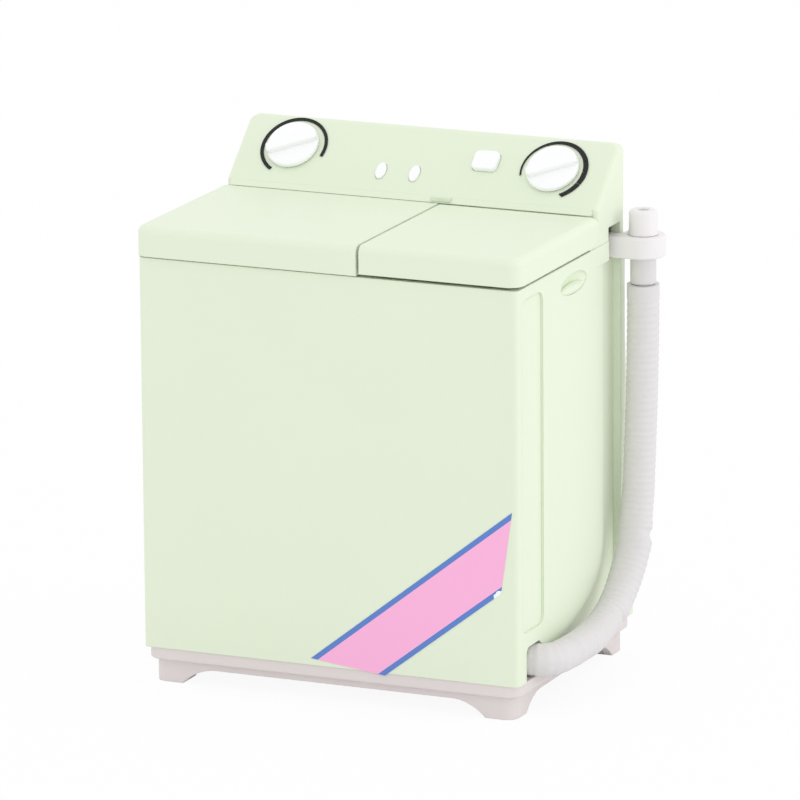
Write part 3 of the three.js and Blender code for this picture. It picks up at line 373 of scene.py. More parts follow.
def rolled_panel():
    """The panel beside the channel. Its edge rolls off gently towards the channel's floor."""
    roll, depth, rear = 6.4, 1.25, 13.9
    corners = [(-40, -7.5, 0), (rear, 12.3, 7), (rear, 90, 0), (-40, 90, 0)]
    outline = rounded(corners, 24)
    face = prism("panel_face", "x", outline, body_half - roll - 0.6, body_half)
    edge = {(round(y, 3), round(z, 3)) for y, z in outline[:-1]}

    def on_edge(x, y, z):
        return near(x, body_half) and (round(y, 3), round(z, 3)) in edge

    round_edges(face, roll, 16, on_edge)
    squeeze = Matrix.Translation((body_half * mm, 0, 0)) @ Matrix.Diagonal((depth / roll, 1, 1, 1))
    moved(face, squeeze @ Matrix.Translation((-body_half * mm, 0, 0)))
    core = prism("panel_core", "x", outline, 24, body_half - depth - 0.05)
    return carve(face, core, "UNION")


def grip(side):
    """An oval scoop, and the lip along its lower half."""
    grip_y, grip_z, long, high = 1.1, 56.9, 9.2, 2.9

    def ellipsoid(x, z, deep, long, high):
        bpy.ops.mesh.primitive_uv_sphere_add(segments=48, ring_count=24, radius=1)
        piece = bpy.context.active_object
        stretch = Matrix.Diagonal((deep * mm, long / 2 * mm, high / 2 * mm, 1))
        return moved(piece, Matrix.Translation(Vector((x, grip_y, z)) * mm) @ stretch)

    scoop = ellipsoid(side * body_half, grip_z, 0.8, long, high)
    lip_x = side * (body_half - 0.35)
    lip = ellipsoid(lip_x, grip_z - high / 4, 0.64, long * 0.85, high / 2)
    return scoop, lip


plan = [(-body_half, body_front, 0.8), (body_half, body_front, 0.8)]
plan += [(body_half, cover_front, 0), (-body_half, cover_front, 0)]
cabinet = prism("cabinet_shell", "z", rounded(plan), body_bottom, body_top)
carve(cabinet, block(left_inner, right_inner, front_inner, body_back + 1, 4, 61))
channel_floor = 26.9
strip_front, strip_back = -17.3, -9.8
zone = block(channel_floor, body_half + 1, strip_back, body_back + 1, 4, 57.3)
carve(cabinet, carve(zone, rolled_panel()))
recess = [(-15.9, 3, 0), (-15.9, 9.9, 0.9), (-11.5, 9.9, 0.9), (-8.4, 7.6, 0), (-8.4, 3, 0)]
carve(cabinet, prism("recess", "x", rounded(recess), channel_floor, body_half + 1))
for side in (-1, 1):
    strip = rectangle(strip_front, strip_back, 12, 58.3, 1.5)
    face = side * (body_half - 0.35)
    carve(cabinet, prism("strip", "x", strip, face, face + side * 2))
    scoop, lip = grip(side)
    carve(carve(cabinet, scoop), lip, "UNION")


def clip_slot(right, back):
    """The room for the hose clip's arm, as far to the right and to the back as is given."""
    return block(25.5, right, 13.8, back, 56.9, 61.9)


carve(cabinet, clip_slot(body_half + 1, body_back + 1))
exit_y, exit_z = -12.6, 7.4
carve(cabinet, prism("hose_hole", "x", disc(exit_y, exit_z, 2.45), right_inner - 1, body_half + 1))

# Screw posts inside the shell carry the rear cover, and shorter ones the base tray.
screw_bore, screw_seat = 0.65, 1.2
base_screws = [(-17, -15.8), (17, -15.8), (-17, 15.9), (17, 15.9)]
rear_screws = [(-24.9, 14), (24.2, 14), (-24.9, 52), (24.2, 52)]
posts = [
    (left_inner - 0.3, -23.2, 13.9, cover_front, body_bottom, 57.6),
    (22.5, right_inner + 0.3, 13.9, cover_front, body_bottom, 57.6),
    (left_inner - 0.3, -15.3, 13.9, cover_front, body_bottom, 11),
    (15.3, right_inner + 0.3, 13.9, cover_front, body_bottom, 11),
    (-18.7, -15.3, front_inner - 0.3, -14.25, body_bottom, 11),
    (15.3, 18.7, front_inner - 0.3, -14.25, body_bottom, 11),
]
for post in posts:
    carve(cabinet, block(*post), "UNION")
for x, y in base_screws:
    carve(cabinet, prism("bore", "z", disc(x, y, screw_bore, 16), 4, 10))
for x, z in rear_screws:
    carve(cabinet, prism("bore", "y", disc(x, z, screw_bore, 16), 14.3, 18))
settle(cabinet, mint_plastic, "machine", ["cabinet"])

# Rear cover: a shallow moulded pan that widens to the foot, with five rows of air slots on each
# half and a pillar round each of its four screws. Its front edge shows beside the hose.
cover_back, cover_knee, cover_wall = 19.8, 46, 1.2


def cover_side(inset):
    low, high = body_bottom + inset, body_top - inset
    foot = body_back - inset - inset * (body_back - cover_back) / (cover_knee - body_bottom)
    back = [(foot, low), (cover_back - inset, cover_knee), (cover_back - inset, high)]
    return [(cover_front - inset, low), *back, (cover_front - inset, high)]


cover = prism("rear_plate", "x", cover_side(0), -body_half, body_half)
for side in (-1, 1):
    round_edges(cover, 0.4, 4, lambda x, y, z: near(x, side * body_half) and y > cover_front + 1)
inside_half = body_half - cover_wall
carve(cover, prism("room", "x", cover_side(cover_wall), -inside_half, inside_half))
for side in (-1, 1):
    for row in range(5):
        x, z = side * 11, 34 + row * 2.6
        slot = rectangle(x - 7, x + 7, z, z + 0.9, 0.44)
        carve(cover, prism("slot", "y", slot, cover_front - 1, body_back + 1))
for x, z in rear_screws:
    carve(cover, prism("pillar", "y", disc(x, z, 1.95), cover_front, cover_back - 0.4), "UNION")
    carve(cover, prism("bore", "y", disc(x, z, screw_bore, 24), cover_front - 1, body_back + 1))
    carve(cover, prism("seat", "y", disc(x, z, screw_seat, 32), cover_front + 0.8, body_back + 1))
settle(cover, mint_plastic, "machine", ["rear_cover"])

# Screws: eight small plated pan-head screws with cross recesses, all alike.
screw_steel = Finish(bpy.data.materials.new("screw_steel"))
screw_place = screw_steel.node("ShaderNodeTexCoord").outputs["Object"]
screw_marks = screw_steel.signal(
    "ShaderNodeTexNoise", 0, None, {"Vector": screw_place, "Scale": 3000, "Detail": 3}
)
screw_shader = screw_steel.nodes["Principled BSDF"]
screw_shader.inputs["Metallic"].default_value = 0.95
screw_steel.feed(
    screw_shader.inputs["Base Color"],
    screw_steel.mixed(screw_marks, (0.5, 0.51, 0.52, 1), (0.68, 0.69, 0.7, 1)),
)
screw_steel.feed(screw_shader.inputs["Roughness"], 0.2 + screw_marks * 0.25)


def turned(name, profile, steps=48):
    """A closed outline of (distance from the axis, height), turned about the Z axis."""
    deselect()
    bpy.ops.mesh.primitive_circle_add(vertices=len(profile), radius=mm)
    piece = bpy.context.active_object
    piece.name = name
    for vertex, (distance, height) in zip(piece.data.vertices, profile):
        vertex.co = Vector((distance, 0, height)) * mm
    bpy.ops.object.mode_set(mode="EDIT")
    bpy.ops.mesh.select_all(action="SELECT")
    bpy.ops.mesh.spin(steps=steps, angle=2 * math.pi, center=(0, 0, 0), axis=(0, 0, 1))
    bpy.ops.mesh.select_all(action="SELECT")
    bpy.ops.mesh.remove_doubles(threshold=1e-7)
    bpy.ops.mesh.delete_loose(use_verts=True, use_edges=True, use_faces=False)
    bpy.ops.mesh.select_all(action="SELECT")
    bpy.ops.mesh.normals_make_consistent(inside=False)
    bpy.ops.object.mode_set(mode="OBJECT")
    return piece


def screw_profile():
    """Head up, with the head's seat at height 0."""
    dome = [(1.05 * math.cos(a), 0.13 + 0.32 * math.sin(a)) for a in (0, 0.35, 0.7, 1.05, 1.35)]
    return [(0, -3.6), (0.25, -3.3), (0.5, -2.9), (0.5, 0), (1.05, 0), *dome, (0, 0.45)]


screw = turned("screw", screw_profile(), 32)
for turn in (0, math.pi / 2):
    arm = prism("recess", "z", rectangle(-0.55, 0.55, -0.11, 0.11), 0.12, 1)
    carve(screw, moved(arm, Matrix.Rotation(turn + 0.4, 4, "Z")))


def copied(piece, name, shift):
    twin = bpy.data.objects.new(name, piece.data.copy())
    bpy.context.scene.collection.objects.link(twin)
    return moved(twin, shift)


rear_places = [(x, cover_front + 0.8, z) for x, z in rear_screws]
base_places = [(x, y, body_bottom - 1.1) for x, y in base_screws]
for kind, places, tilt in (
    ("rear", rear_places, -math.pi / 2),
    ("base", base_places, math.pi),
):
    for number, place in enumerate(places, 1):
        put = Matrix.Translation(Vector(place) * mm) @ Matrix.Rotation(tilt, 4, "X")
        piece = copied(screw, f"{kind}_screw_head_{number}", put)
        settle(piece, screw_steel.owner, "machine", [f"{kind}_screw_{number}"])
bpy.data.objects.remove(screw)

# Base tray: warm grey moulding with a flange that shows as a line under the cabinet, a skirt set
# back from it and four feet that sweep up into the skirt. Its middle is open.
base_plastic = moulded("base_plastic", paint(226, 218, 217), 0.5, mottle=0.02)


def bezier(start, first, second, end, steps):
    """Points of a curve from start to end with two handles, without its start."""
    points = []
    for step in range(1, steps + 1):
        t = step / steps
        weights = ((1 - t) ** 3, 3 * t * (1 - t) ** 2, 3 * t * t * (1 - t), t ** 3)
        handles = (start, first, second, end)
        points.append(tuple(sum(w * h[k] for w, h in zip(weights, handles)) for k in (0, 1)))
    return points


def skirt_elevation(half):
    """One side of the skirt: two feet, with their inner edges swept up to the skirt's edge."""
    foot, draft, low = half - 4.3, 0.35, 2.25
    sweep = foot - 4.9
    right = bezier((sweep, low), (sweep + 1.6, low), (foot - 1.2, 1.4), (foot, 0), 14)
    right = [(sweep, low), *right, (half - draft, 0), (half, low), (half, 3.75)]
    return right + [(-u, v) for u, v in reversed(right)]


skirt_x, skirt_y = 26.9, 19.675
tray = prism("base_moulding", "y", skirt_elevation(skirt_x), -skirt_y, -skirt_y + 1.2)
for name, axis, half, low in (
    ("back_skirt", "y", skirt_x, skirt_y - 1.2),
    ("left_skirt", "x", skirt_y, -skirt_x),
    ("right_skirt", "x", skirt_y, skirt_x - 1.2),
):
    carve(tray, prism(name, axis, skirt_elevation(half), low, low + 1.2), "UNION")
foot_x, foot_y, foot_half = skirt_x - 2.5, skirt_y - 2.5, 1.8
for x in (-foot_x, foot_x):
    for y in (-foot_y, foot_y):
        foot = (x - foot_half, x + foot_half, y - foot_half, y + foot_half, 0, 3.75)
        carve(tray, block(*foot), "UNION")
skirt_plan = rectangle(-skirt_x, skirt_x, -skirt_y, skirt_y, 1.7)
carve(tray, prism("skirt_plan", "z", skirt_plan, -1, 3.75), "INTERSECT")
flange = prism("flange", "z", rectangle(-27.8, 27.8, -20.575, 20.575, 2.2), 3.25, body_bottom)
round_edges(flange, 0.3, 4, lambda x, y, z: near(z, 3.25))
carve(tray, flange, "UNION")
moved(tray, (0, (body_front + body_back) / 2, 0))
carve(tray, prism("hand_hole", "z", rectangle(-21, 21, -11.25, 11.25, 3), -5, 10))
for x, y in base_screws:
    carve(tray, prism("bore", "z", disc(x, y, screw_bore, 24), -1, 6))
    carve(tray, prism("seat", "z", disc(x, y, screw_seat, 32), -1, 3.9))
settle(tray, base_plastic, "machine", ["base_tray"])

# Top deck: the flat moulding under the lids, with a cut-out for each tub and two rounded lugs for
# each lid's hinge pin.
deck_bottom, deck_top = 58.6, 59.8
hinge_y, hinge_z = 7.1, 62.7
lid_half, split_x = 28.4, 4.85
wash_ends = (-lid_half, split_x - 0.2)
spin_ends = (split_x + 0.2, lid_half)
deck_plastic = moulded("deck_plastic", paint(222, 232, 208), 0.55)
deck = prism("deck_moulding", "z", rectangle(-26.4, 25.7, -17.15, 17.7, 0.3), deck_bottom, deck_top)
wash_hole = rectangle(-24.6, 1.6, -15.6, 4.0, 4.8)
carve(deck, prism("wash_hole", "z", wash_hole, deck_bottom - 1, deck_top + 1))
carve(deck, prism("spin_hole", "z", disc(15.2, -5.6, 9.1, 96), deck_bottom - 1, deck_top + 1))
lug_places = [wash_ends[0] + 4, wash_ends[1] - 4, spin_ends[0] + 4, spin_ends[1] - 4]
for x in lug_places:
    head = [
        (hinge_y + 0.8 * math.cos(a), hinge_z + 0.8 * math.sin(a))
        for a in (math.pi * i / 16 for i in range(17))
    ]
    outline = [(hinge_y - 0.8, deck_top - 0.5), (hinge_y + 0.8, deck_top - 0.5), *head]
    lug = prism("lug", "x", outline, x - 0.8, x + 0.8)
    for side in (x - 0.8, x + 0.8):
        round_edges(lug, 0.15, 2, lambda px, y, z: z > deck_top + 0.1 and near(px, side))
    carve(deck, lug, "UNION")
carve(deck, prism("pin_bore", "x", disc(hinge_y, hinge_z, 0.45, 24), -28, 28))
settle(deck, deck_plastic, "machine", ["top_deck"])

# Wash tub: a white oblong tub that hangs by its lip on the deck, with rounded inner corners, a
# boss for the pulsator's shaft and a drain nipple underneath.
tub_plastic = moulded("tub_plastic", paint(243, 245, 243), 0.28, mottle=0.015, grain=0.2)
pulsator_x, pulsator_y = -11.5, -5.8
lip_top = deck_top + 0.5
wash_floor = 24


def with_floor_fittings(tub, x, y, floor, drain_x):
    """The shaft's boss and the drain nipple under a tub's floor, both bored through."""
    low, high = floor - 2.5, floor + 0.3
    carve(tub, prism("boss", "z", disc(x, y, 2.2), low, high), "UNION")
    carve(tub, prism("nipple", "z", disc(drain_x, exit_y, 1.5, 32), low, high), "UNION")
    carve(tub, prism("bore", "z", disc(x, y, 1.0, 32), floor - 3, floor + 2))
    carve(tub, prism("drain", "z", disc(drain_x, exit_y, 0.8, 24), floor - 3, floor + 2))


wash_plan = rectangle(-24.4, 1.4, -15.4, 3.8, 4.8, 12)
wash_tub = prism("wash_tub_shell", "z", wash_plan, wash_floor, lip_top)
round_edges(wash_tub, 1.2, 4, lambda x, y, z: near(z, wash_floor))
lip = prism("lip", "z", rectangle(-25.2, 2.2, -16.2, 4.6, 5.2, 12), deck_top, lip_top)
round_edges(lip, 0.22, 3, lambda x, y, z: near(z, lip_top))
carve(wash_tub, lip, "UNION")
room = prism("room", "z", rectangle(-23.5, 0.5, -14.5, 2.9, 4.2, 12), wash_floor + 0.9, lip_top + 1)
round_edges(room, 1.6, 6, lambda x, y, z: near(z, wash_floor + 0.9))
carve(wash_tub, room)
with_floor_fittings(wash_tub, pulsator_x, pulsator_y, wash_floor, -3)
settle(wash_tub, tub_plastic, "machine", ["wash_tub"])

# Spin tub: the round white tub beside it, made and hung in the same way.
spin_x, spin_y, spin_floor = 15.2, -5.6, 22
spin_profile = [
    (0, spin_floor), (8.1, spin_floor), (8.66, spin_floor + 0.24), (8.9, spin_floor + 0.8),
    (8.9, deck_top), (9.7, deck_top), (9.7, lip_top - 0.2), (9.64, lip_top - 0.06),
    (9.5, lip_top), (8.2, lip_top), (8.06, lip_top - 0.06), (8.0, lip_top - 0.2),
    (8.0, spin_floor + 1.9), (7.7, spin_floor + 1.2), (7.0, spin_floor + 0.9),
    (0, spin_floor + 0.9),
]
spin_tub = moved(turned("spin_tub_shell", spin_profile, 96), (spin_x, spin_y, 0))
with_floor_fittings(spin_tub, spin_x, spin_y, spin_floor, spin_x)
settle(spin_tub, tub_plastic, "machine", ["spin_tub"])

# Pulsator: a mint-green shallow dome on the wash tub's floor with four curved ribs, turned by a
# steel shaft that comes up through the boss.
pulsator_radius, pulsator_bottom = 6.2, 25.3
rim = pulsator_bottom + 0.6
pulsator_profile = [
    (0, pulsator_bottom), (pulsator_radius, pulsator_bottom), (pulsator_radius, rim - 0.15),
    (6.05, rim), (3.72, 26.25), (1.86, 26.9), (0.9, 27.1), (0, 27.2),
]
pulsator = turned("pulsator_disc", pulsator_profile, 72)
reach = 0.93 * pulsator_radius
for number in range(4):
    outer = bezier((1, -0.5), (2.6, -1.05), (4.2, -0.8), (reach, -0.2), 10)
    inner = bezier((reach, 0.5), (4.2, 0.1), (2.6, 0.05), (1, 0.5), 10)
    rib = prism("rib", "z", [(1, -0.5), *outer, (reach, 0.5), *inner], 25.6, 27.5)
    round_edges(rib, 0.2, 4, lambda x, y, z: near(z, 27.5))
    carve(pulsator, moved(rib, Matrix.Rotation(number * math.pi / 2, 4, "Z")), "UNION")
carve(pulsator, prism("socket", "z", disc(0, 0, 0.9, 32), 24, 26.15))
moved(pulsator, (pulsator_x, pulsator_y, 0))
settle(pulsator, mint_plastic, "pulsator", ["pulsator"])

# Spin basket: a white perforated drum with a turned-in rim. Its upright slots let the water out.
basket_bottom = 23.7
basket_top = basket_bottom + 31
basket_floor = basket_bottom + 1
basket_profile = [
    (0, basket_bottom), (6.3, basket_bottom), (7.0, basket_bottom + 0.3), (7.3, basket_bottom + 1),
    (7.3, basket_top - 0.3), (7.2, basket_top - 0.08), (7.0, basket_top), (6.3, basket_top),
    (6.14, basket_top - 0.08), (6.1, basket_top - 0.25), (6.1, basket_top - 0.8),
    (6.6, basket_top - 1.3), (6.6, basket_floor + 1), (6.3, basket_floor + 0.3),
    (5.6, basket_floor), (2, basket_floor), (1.2, basket_floor + 0.8), (0, basket_floor + 1.2),
]
basket = turned("basket_drum", basket_profile, 96)
for row in range(3):
    z = basket_floor + 2.5 + row * 8.6
    for number in range(6):
        slot = prism("slot", "x", rectangle(-0.4, 0.4, z, z + 6, 0.39, 5), -8.3, 8.3)
        turn = (number + row / 2) / 6 * math.pi
        carve(basket, moved(slot, Matrix.Rotation(turn, 4, "Z")))
carve(basket, prism("socket", "z", disc(0, 0, 0.9, 32), 22, basket_bottom + 0.85))
moved(basket, (spin_x, spin_y, 0))
settle(basket, tub_plastic, "spin_basket", ["spin_basket"])

# Lids: two hollow caps of the cabinet's plastic whose rims stand a little proud of it. The rear
# ends are round about the hinge pins, and two ears inside each lid hang on its pin.
lid_front, lid_top = -19.15, 64.4


def make_lid(name, ends, bottom, plan_ends):
    """A lid from its ends and its rim's height. Its plan runs past its end at the split, where
    the corners stay square."""
    left, right = ends
    plan = rectangle(*plan_ends, lid_front, 13, 2, 12)
    lid = prism(name, "z", plan, bottom, lid_top)
    round_edges(lid, 1.1, 10, lambda x, y, z: near(z, lid_top))
    radius = hinge_z - bottom
    stop = math.asin((lid_top - hinge_z) / radius)
    rear = [-math.pi / 2 + (stop + math.pi / 2) * i / 24 for i in range(25)]
    arc = [(hinge_y + radius * math.cos(a), hinge_z + radius * math.sin(a)) for a in rear]
    side_view = [(lid_front - 2, bottom), *arc, (lid_front - 2, lid_top)]
    carve(lid, prism("side_view", "x", side_view, left, right), "INTERSECT")
    plate = lid_top - 1.2
    inside = (left + 1.1, right - 1.1)
    hollow = rectangle(*inside, lid_front + 1.1, hinge_y, 1)
    carve(lid, prism("hollow", "z", hollow, bottom - 1, plate))
    carve(lid, prism("pin_room", "x", disc(hinge_y, hinge_z, 0.95), *inside))
    half = 1.1
    for x in (left + 4, right - 4):
        carve(lid, block(x - half, x + half, hinge_y - 1, hinge_y + 4, bottom - 1, plate + 0.65))
    turns = [math.pi + math.pi * i / 24 for i in range(25)]
    hook = [(hinge_y + 1.3 * math.cos(a), hinge_z + 1.3 * math.sin(a)) for a in turns]
    ear = [(hinge_y + 1.3, lid_top - 0.6), (hinge_y - 1.3, lid_top - 0.6), *hook]
    for x in (left + 4 + half, right - 4 - half - 0.9):
        carve(lid, prism("ear", "x", ear, x, x + 0.9), "UNION")
    carve(lid, prism("pin_bore", "x", disc(hinge_y, hinge_z, 0.55, 32), *inside))
    return lid


wash_lid = make_lid("wash_lid_cap", wash_ends, 60.2, (wash_ends[0], wash_ends[1] + 6))
settle(wash_lid, mint_plastic, "wash_lid", ["wash_lid"])
spin_lid = make_lid("spin_lid_cap", spin_ends, 60.5, (spin_ends[0] - 6, spin_ends[1]))
settle(spin_lid, mint_plastic, "spin_lid", ["spin_lid"])

# Hinge pins: lengths of bright drawn wire with rounded ends, fast in the deck's lugs.
for name, node, ends in (
    ("wash_pin_wire", "wash_hinge_pin", wash_ends),
    ("spin_pin_wire", "spin_hinge_pin", spin_ends),
):
    low, high = ends[0] + 3.2, ends[1] - 3.2
    pin = prism(name, "x", disc(hinge_y, hinge_z, 0.4, 32), low, high)
    round_edges(pin, 0.12, 3, lambda x, y, z: near(x, low), lambda x, y, z: near(x, high))
    settle(pin, screw_steel.owner, "machine", [node])

# Console: the sloping housing across the back, hollow and open below, with rounded ends and a
# rounded top edge. A small bridge stands over the gap between the lids.
console_half, console_crest = 27.9, 1.1
lean = math.radians(48)
face_y, face_z = 9.3, 64.6
face_turn = Matrix.Rotation(math.pi / 2 - lean, 4, "X")
face_place = Matrix.Translation(Vector((0, face_y, face_z)) * mm) @ face_turn


def slope_z(y, inset=0):
    """Height of the console's sloping face, or of a plane set in from it, at a depth y."""
    return face_z + (y - face_y) / math.tan(lean) - inset / math.sin(lean)


console_side = [
    (9.9, body_top - 3, 0),
    (cover_back, body_top - 3, 0),
    (cover_back, slope_z(cover_back), console_crest),
    (9.9, slope_z(9.9), 0),
]
console = prism("console_housing", "x", rounded(console_side, 24), -console_half, console_half)
for end in (-console_half, console_half):
    round_edges(console, 0.8, 10, lambda x, y, z: near(x, end))
console_top = slope_z(cover_back) - console_crest / math.tan(lean / 2) + console_crest
front_view = [(-console_half, 50, 0), (console_half, 50, 0)]
front_view += [(console_half, console_top, 1.6), (-console_half, console_top, 1.6)]
carve(console, prism("front_view", "y", rounded(front_view, 12), 5, 25), "INTERSECT")
carve(console, block(-30, 30, 5, 25, body_top - 5, body_top))
inside_room = [
    (11.2, body_top - 1),
    (18.5, body_top - 1),
    (18.5, slope_z(18.5, 1.3)),
    (11.2, slope_z(11.2, 1.3)),
]
carve(console, prism("inside_room", "x", inside_room, -26.6, 26.6))
for side, bottom in ((-1, 60.2), (1, 60.5)):
    low, high = sorted((side * console_half, side * (console_half - 1.2)))
    wedge = prism("wedge", "x", rectangle(hinge_y, 10.4, body_top, hinge_z), low, high)
    sweep = hinge_z - bottom + 0.3
    carve(wedge, prism("sweep", "x", disc(hinge_y, hinge_z, sweep, 96), -29, 29))
    carve(console, wedge, "UNION")
bridge = block(split_x - 1.5, split_x + 1.5, 9.15, 10.4, lid_top + 0.2, lid_top + 0.75)
carve(console, bridge, "UNION")
foot = [(9.08, slope_z(9.08)), (10.2, slope_z(9.08)), (10.2, face_z + 0.4), (9.9, slope_z(9.9))]
carve(console, prism("foot_lip", "x", foot, -27.1, 27.1), "UNION")
carve(console, clip_slot(body_half + 1, cover_front))


def through_face(outline, low=-4, high=2):
    """A prism square to the console's face, from an outline measured along and up the face."""
    return moved(prism("hole", "z", outline, low, high), face_place)


wash_dial, spin_dial = (-19.65, 7.05), (19.55, 6.75)
lamp_places = {"wash_lamp": (-5.45, 4.2), "spin_lamp": (-0.4, 4.2)}
key_place = (9.45, 7.2)


def oval(x, y, width, height):
    return [(x + (u - x) * width / 2, y + (v - y) * height / 2) for u, v in disc(x, y, 1, 64)]


for x, s in (wash_dial, spin_dial):
    carve(console, through_face(disc(x, s, 1.15)))
for x, s in lamp_places.values():
    carve(console, through_face(oval(x, s, 1.6, 2.8)))
key_x, key_s = key_place
carve(console, through_face(rectangle(key_x - 1.9, key_x + 1.9, key_s - 1.65, key_s + 1.65, 0.85)))
work_on(console)
bpy.ops.object.mode_set(mode="EDIT")
bpy.ops.mesh.select_all(action="SELECT")
bpy.ops.mesh.dissolve_limited(angle_limit=math.radians(0.6))
bpy.ops.object.mode_set(mode="OBJECT")
settle(console, mint_plastic, "machine", ["console"], angle=10, flat_from=2)

# Timer knobs: white discs with a grip bar across them, each on a shaft through the face.
knob_plastic = moulded(
    "knob_plastic", paint(252, 252, 254), 0.32, mottle=0.01, grain=0.2, softness=0.08
)
knob_profile = [
    (0, 0.15), (3.6, 0.15), (3.75, 0.3), (3.75, 0.6), (3.7, 0.74), (3.6, 0.82),
    (3.45, 0.85), (2.6, 0.87), (0, 0.95),
]
bar_half = 3.65
for name, (x, s) in (("wash_timer", wash_dial), ("spin_timer", spin_dial)):
    knob = turned(f"{name}_dial", knob_profile, 96)
    bar = prism("bar", "z", rectangle(-bar_half, bar_half, -0.75, 0.75, 0.4), 0.4, 1.65)
    round_edges(bar, 0.25, 5, lambda px, y, z: near(z, 1.65))
    carve(knob, bar, "UNION")
    carve(knob, prism("socket", "z", disc(0, 0, 1.05), -1, 0.8))
    moved(knob, Matrix.Rotation(math.radians(25), 4, "Z"))
    moved(knob, face_place @ Matrix.Translation(Vector((x, s, 0)) * mm))
    settle(knob, knob_plastic, name, [f"{name}_knob"])
    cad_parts[f"{name}_shaft"].material_slots[0].material = knob_plastic

# Dial rings: near-black crescents printed round the knobs, open below, widest on the outer side.
# Three hair-thin marks cross the spin timer's.
ring_ink = moulded("ring_ink", paint(10, 11, 14), 0.6, mottle=0.2, softness=0.03)
ring_from, ring_sweep = math.radians(-61), math.radians(257)
for name, (x, s), mirror, shift, marks in (
    ("wash_dial", wash_dial, -1, 0.12, ()),
    ("spin_dial", spin_dial, 1, 0.15, (24, 2, -24)),
):
    angles = [ring_from + ring_sweep * i / 120 for i in range(121)]
    outer = [(mirror * 0.1 + 4.9 * math.cos(a), 4.9 * math.sin(a)) for a in angles]
    inner = [(-shift + 4.42 * math.cos(a), 4.42 * math.sin(a)) for a in reversed(angles)]
    outline = [(mirror * u, v) for u, v in outer + inner]
    ring = prism(f"{name}_print", "z", outline, 0.05, 0.15)
    for mark in marks:
        gap = prism("mark", "z", rectangle(3.9, 5.3, -0.05, 0.05), -1, 1)
        carve(ring, moved(gap, Matrix.Rotation(math.radians(mark), 4, "Z")))
    moved(ring, face_place @ Matrix.Translation(Vector((x, s, 0)) * mm))
    settle(ring, ring_ink, "machine", [f"{name}_ring"])

# Lamps: two small white oval windows in the face, a little proud of it.
for name, (x, s) in lamp_places.items():
    lamp = prism(f"{name}_window", "z", oval(0, 0, 1.5, 2.7), -1.3, 0.3)
    round_edges(lamp, 0.15, 4, lambda px, y, z: near(z, 0.3))
    moved(lamp, face_place @ Matrix.Translation(Vector((x, s, 0)) * mm))
    settle(lamp, knob_plastic, "machine", [name])

# Selector key: a white rounded key that is pressed into the face against a spring. Two ears
# behind the face keep it from falling out.
key = prism("selector_key_cap", "z", rectangle(-1.85, 1.85, -1.6, 1.6, 0.8), -1.55, 0.7)
round_edges(key, 0.25, 5, lambda x, y, z: near(z, 0.7))
ears = prism("ears", "z", rectangle(-2.45, 2.45, -1.45, 1.45, 0.5), -1.75, -1.35)
carve(key, ears, "UNION")
moved(key, face_place @ Matrix.Translation(Vector((key_x, key_s, 0)) * mm))
settle(key, knob_plastic, "selector_key", ["selector_key"])

# Hose clip: a grey ring on an arm whose end is let into the cabinet's rear upper corner.
clip_plastic = moulded("clip_plastic", paint(240, 236, 238), 0.45, mottle=0.02)
clip_x, clip_y, clip_top = 31.3, 18.1, 60.4
clip_bottom = clip_top - 3
clip = prism("clip_ring", "z", disc(clip_x, clip_y, 3.15, 72), clip_bottom, clip_top)
for level in (clip_bottom, clip_top):
    round_edges(clip, 0.3, 4, lambda x, y, z: near(z, level))
arm = block(25.7, clip_x, 14.95, 17.7, clip_bottom, clip_top)
for level in (clip_bottom, clip_top):
    round_edges(arm, 0.25, 3, lambda x, y, z: near(z, level))
carve(clip, arm, "UNION")
carve(clip, prism("ring_bore", "z", disc(clip_x, clip_y, 1.9, 64), 55, 65))
settle(clip, clip_plastic, "machine", ["hose_clip"])

# Hose spout: a smooth neck, whose nipple is pushed into the hose's upper end, and a paler stub
# with a shoulder that sits on the clip's ring. The neck is given the hose's darker grey as painted
# shade under the clip's ring, and the stub's paler plastic stands for the lit part above it.
hose_plastic = moulded("hose_plastic", paint(223, 219, 221), 0.45, mottle=0.02)
hose_top, neck_top = 53.4, 58.5
neck_profile = [
    (0.8, hose_top - 3.8), (1.05, hose_top - 3.6), (1.05, hose_top + 0.05), (1.6, hose_top + 0.05),
    (1.8, hose_top + 0.25), (1.8, neck_top), (0.8, neck_top),
]
stub_profile = [
    (0.8, neck_top), (1.8, neck_top), (1.8, 60.45), (2.13, 60.45), (2.13, 60.75),
    (1.98, 61.05), (1.98, 63.3), (1.93, 63.55), (1.8, 63.75), (1.6, 63.87), (1.35, 63.9),
    (0.95, 63.9), (0.8, 63.75),
]
neck = moved(turned("spout_neck", neck_profile, 64), (clip_x, clip_y, 0))
# The neck's darker grey is painted shade from the ring above it.
settle(neck, hose_plastic, "machine", ["hose_spout"])
stub = moved(turned("spout_stub", stub_profile, 64), (clip_x, clip_y, 0))
settle(stub, clip_plastic, "machine", ["hose_spout"])

